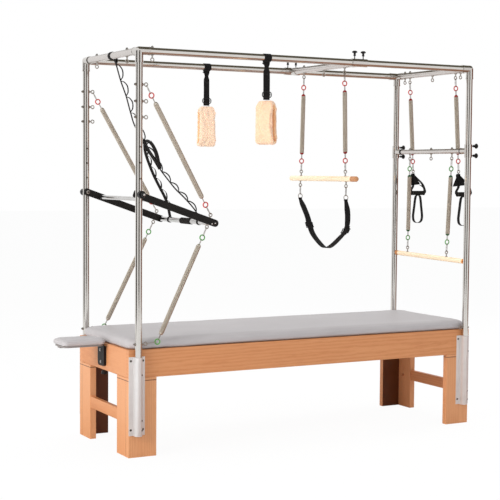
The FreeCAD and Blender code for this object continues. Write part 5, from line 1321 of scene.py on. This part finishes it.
# Camera, at the place and turn that the photograph was taken from
yaw = math.radians(28.5265)
pitch = math.radians(3.4598)
roll = math.radians(0.4589)
look = Vector((math.sin(yaw) * math.cos(pitch), math.cos(yaw) * math.cos(pitch), -math.sin(pitch)))
right = Vector((math.cos(yaw), -math.sin(yaw), 0.0))
above = right.cross(look)
right_two = math.cos(roll) * right + math.sin(roll) * above
above_two = -math.sin(roll) * right + math.cos(roll) * above
camera_data = bpy.data.cameras.new("camera")
camera_data.sensor_width = 36.0
camera_data.lens = 1287.02 / 500 * camera_data.sensor_width
camera_data.clip_end = 60.0
camera = bpy.data.objects.new("camera", camera_data)
camera.matrix_world = Matrix((
    (right_two.x, above_two.x, -look.x, -3.7917),
    (right_two.y, above_two.y, -look.y, -6.5943),
    (right_two.z, above_two.z, -look.z, 1.5219),
    (0.0, 0.0, 0.0, 1.0),
))
scene.collection.objects.link(camera)
scene.camera = camera

def shade(tree, kind, *values, **settings):
    """Adds a node whose first inputs are set or linked in their order, and gives its outputs."""
    made = tree.nodes.new("ShaderNode" + kind)
    for key, value in settings.items():
        setattr(made, key, value)
    for socket, value in zip(made.inputs, values):
        if isinstance(value, bpy.types.NodeSocket):
            tree.links.new(value, socket)
        else:
            socket.default_value = value
    return made.outputs


def bare_tree(owner):
    owner.use_nodes = True
    owner.node_tree.nodes.clear()
    return owner.node_tree


# World: plain white where it is seen directly or in metal, softer as light
scene.world = bpy.data.worlds.new("world")
tree = bare_tree(scene.world)
seen = shade(tree, "Background", (1, 1, 1, 1), 1.0)[0]
lit = shade(tree, "Background", (0.97, 0.98, 1.0, 1), 0.57)[0]
rays = shade(tree, "LightPath")
direct = shade(tree, "Math", rays["Is Camera Ray"], rays["Is Glossy Ray"], operation="MAXIMUM")[0]
direct = shade(tree, "Math", direct, rays["Is Transmission Ray"], operation="MAXIMUM")[0]
shade(tree, "OutputWorld", shade(tree, "MixShader", direct, lit, seen)[0])


def plate(name, middle, long_way, wide_way):
    mesh = bpy.data.meshes.new(name)
    middle = Vector(middle)
    a = Vector(long_way)
    b = Vector(wide_way)
    mesh.from_pydata([middle - a - b, middle + a - b, middle + a + b, middle - a + b], [], [(0, 1, 2, 3)])
    made = bpy.data.objects.new(name, mesh)
    scene.collection.objects.link(made)
    return made


# Floor: white, keeps a soft shadow
floor = plate("floor", (0, 0, -0.0006), (40, 0, 0), (0, 40, 0))
floor_paint = bpy.data.materials.new("floor_paint")
tree = bare_tree(floor_paint)
diffuse = shade(tree, "BsdfDiffuse", (0.93, 0.93, 0.93, 1))[0]
glow = shade(tree, "Emission", (1, 1, 1, 1), 1.0)[0]
rays = shade(tree, "LightPath")
direct = shade(tree, "Math", rays["Is Camera Ray"], rays["Is Glossy Ray"], operation="MAXIMUM")[0]
share = shade(tree, "Math", direct, 0.955, operation="MULTIPLY")[0]
shade(tree, "OutputMaterial", shade(tree, "MixShader", share, diffuse, glow)[0])
floor.data.materials.append(floor_paint)


# Dark cards that only mirror in the metal, as the unlit parts of a studio do
def card(name, middle, long_way, wide_way, colour):
    made = plate(name, middle, long_way, wide_way)
    paint = bpy.data.materials.new(name)
    tree = bare_tree(paint)
    shade(tree, "OutputMaterial", shade(tree, "Emission", colour)[0])
    made.data.materials.append(paint)
    for kind in ("camera", "diffuse", "shadow", "transmission", "volume_scatter"):
        setattr(made, "visible_" + kind, False)


card("card_ceiling", (2.0, 1.0, 5.2), (4.4, 0, 0), (0, 5.0, 0), rgb(100, 95, 82))
card("card_left", (-7.0, 0.56, 1.8), (0, 2.3, 0), (0, 0, 1.8), rgb(52, 47, 42))
card("card_middle", (-3.15, -8.1, 1.8), (2.9, 0, 0), (0, 0, 2.0), rgb(88, 82, 76))
card("card_right", (5.8, -1.9, 1.7), (0, 3.7, 0), (0, 0, 1.9), rgb(132, 86, 68))
card("card_floor", (1.4, -0.4, 0.004), (2.9, 0, 0), (0, 2.6, 0), rgb(172, 132, 112))


def lamp(name, place, target, size, power, colour=(1, 1, 1)):
    data = bpy.data.lights.new(name, "AREA")
    data.shape = "RECTANGLE"
    data.size = size[0]
    data.size_y = size[1]
    data.energy = power
    data.color = colour
    made = bpy.data.objects.new(name, data)
    made.location = place
    way = Vector(target) - Vector(place)
    made.rotation_euler = way.to_track_quat("-Z", "Y").to_euler()
    made.visible_camera = False
    made.visible_glossy = False
    scene.collection.objects.link(made)


lamp("key", (-7.2, -2.4, 3.4), (0, 0, 0.8), (3.2, 3.2), 400, (1.0, 0.985, 0.96))
lamp("fill", (1.8, -6.6, 2.6), (0, 0, 0.9), (3.0, 3.0), 24)
lamp("low", (-4.4, -5.2, 0.5), (-0.9, 0.3, 0.25), (1.2, 0.6), 30)
lamp("side", (6.4, 0.6, 2.0), (0, 0, 0.7), (2.4, 2.4), 150)
lamp("top", (0.9, 1.2, 5.0), (0.3, 0, 0.8), (4.0, 3.0), 112)

scene.view_settings.view_transform = "Standard"
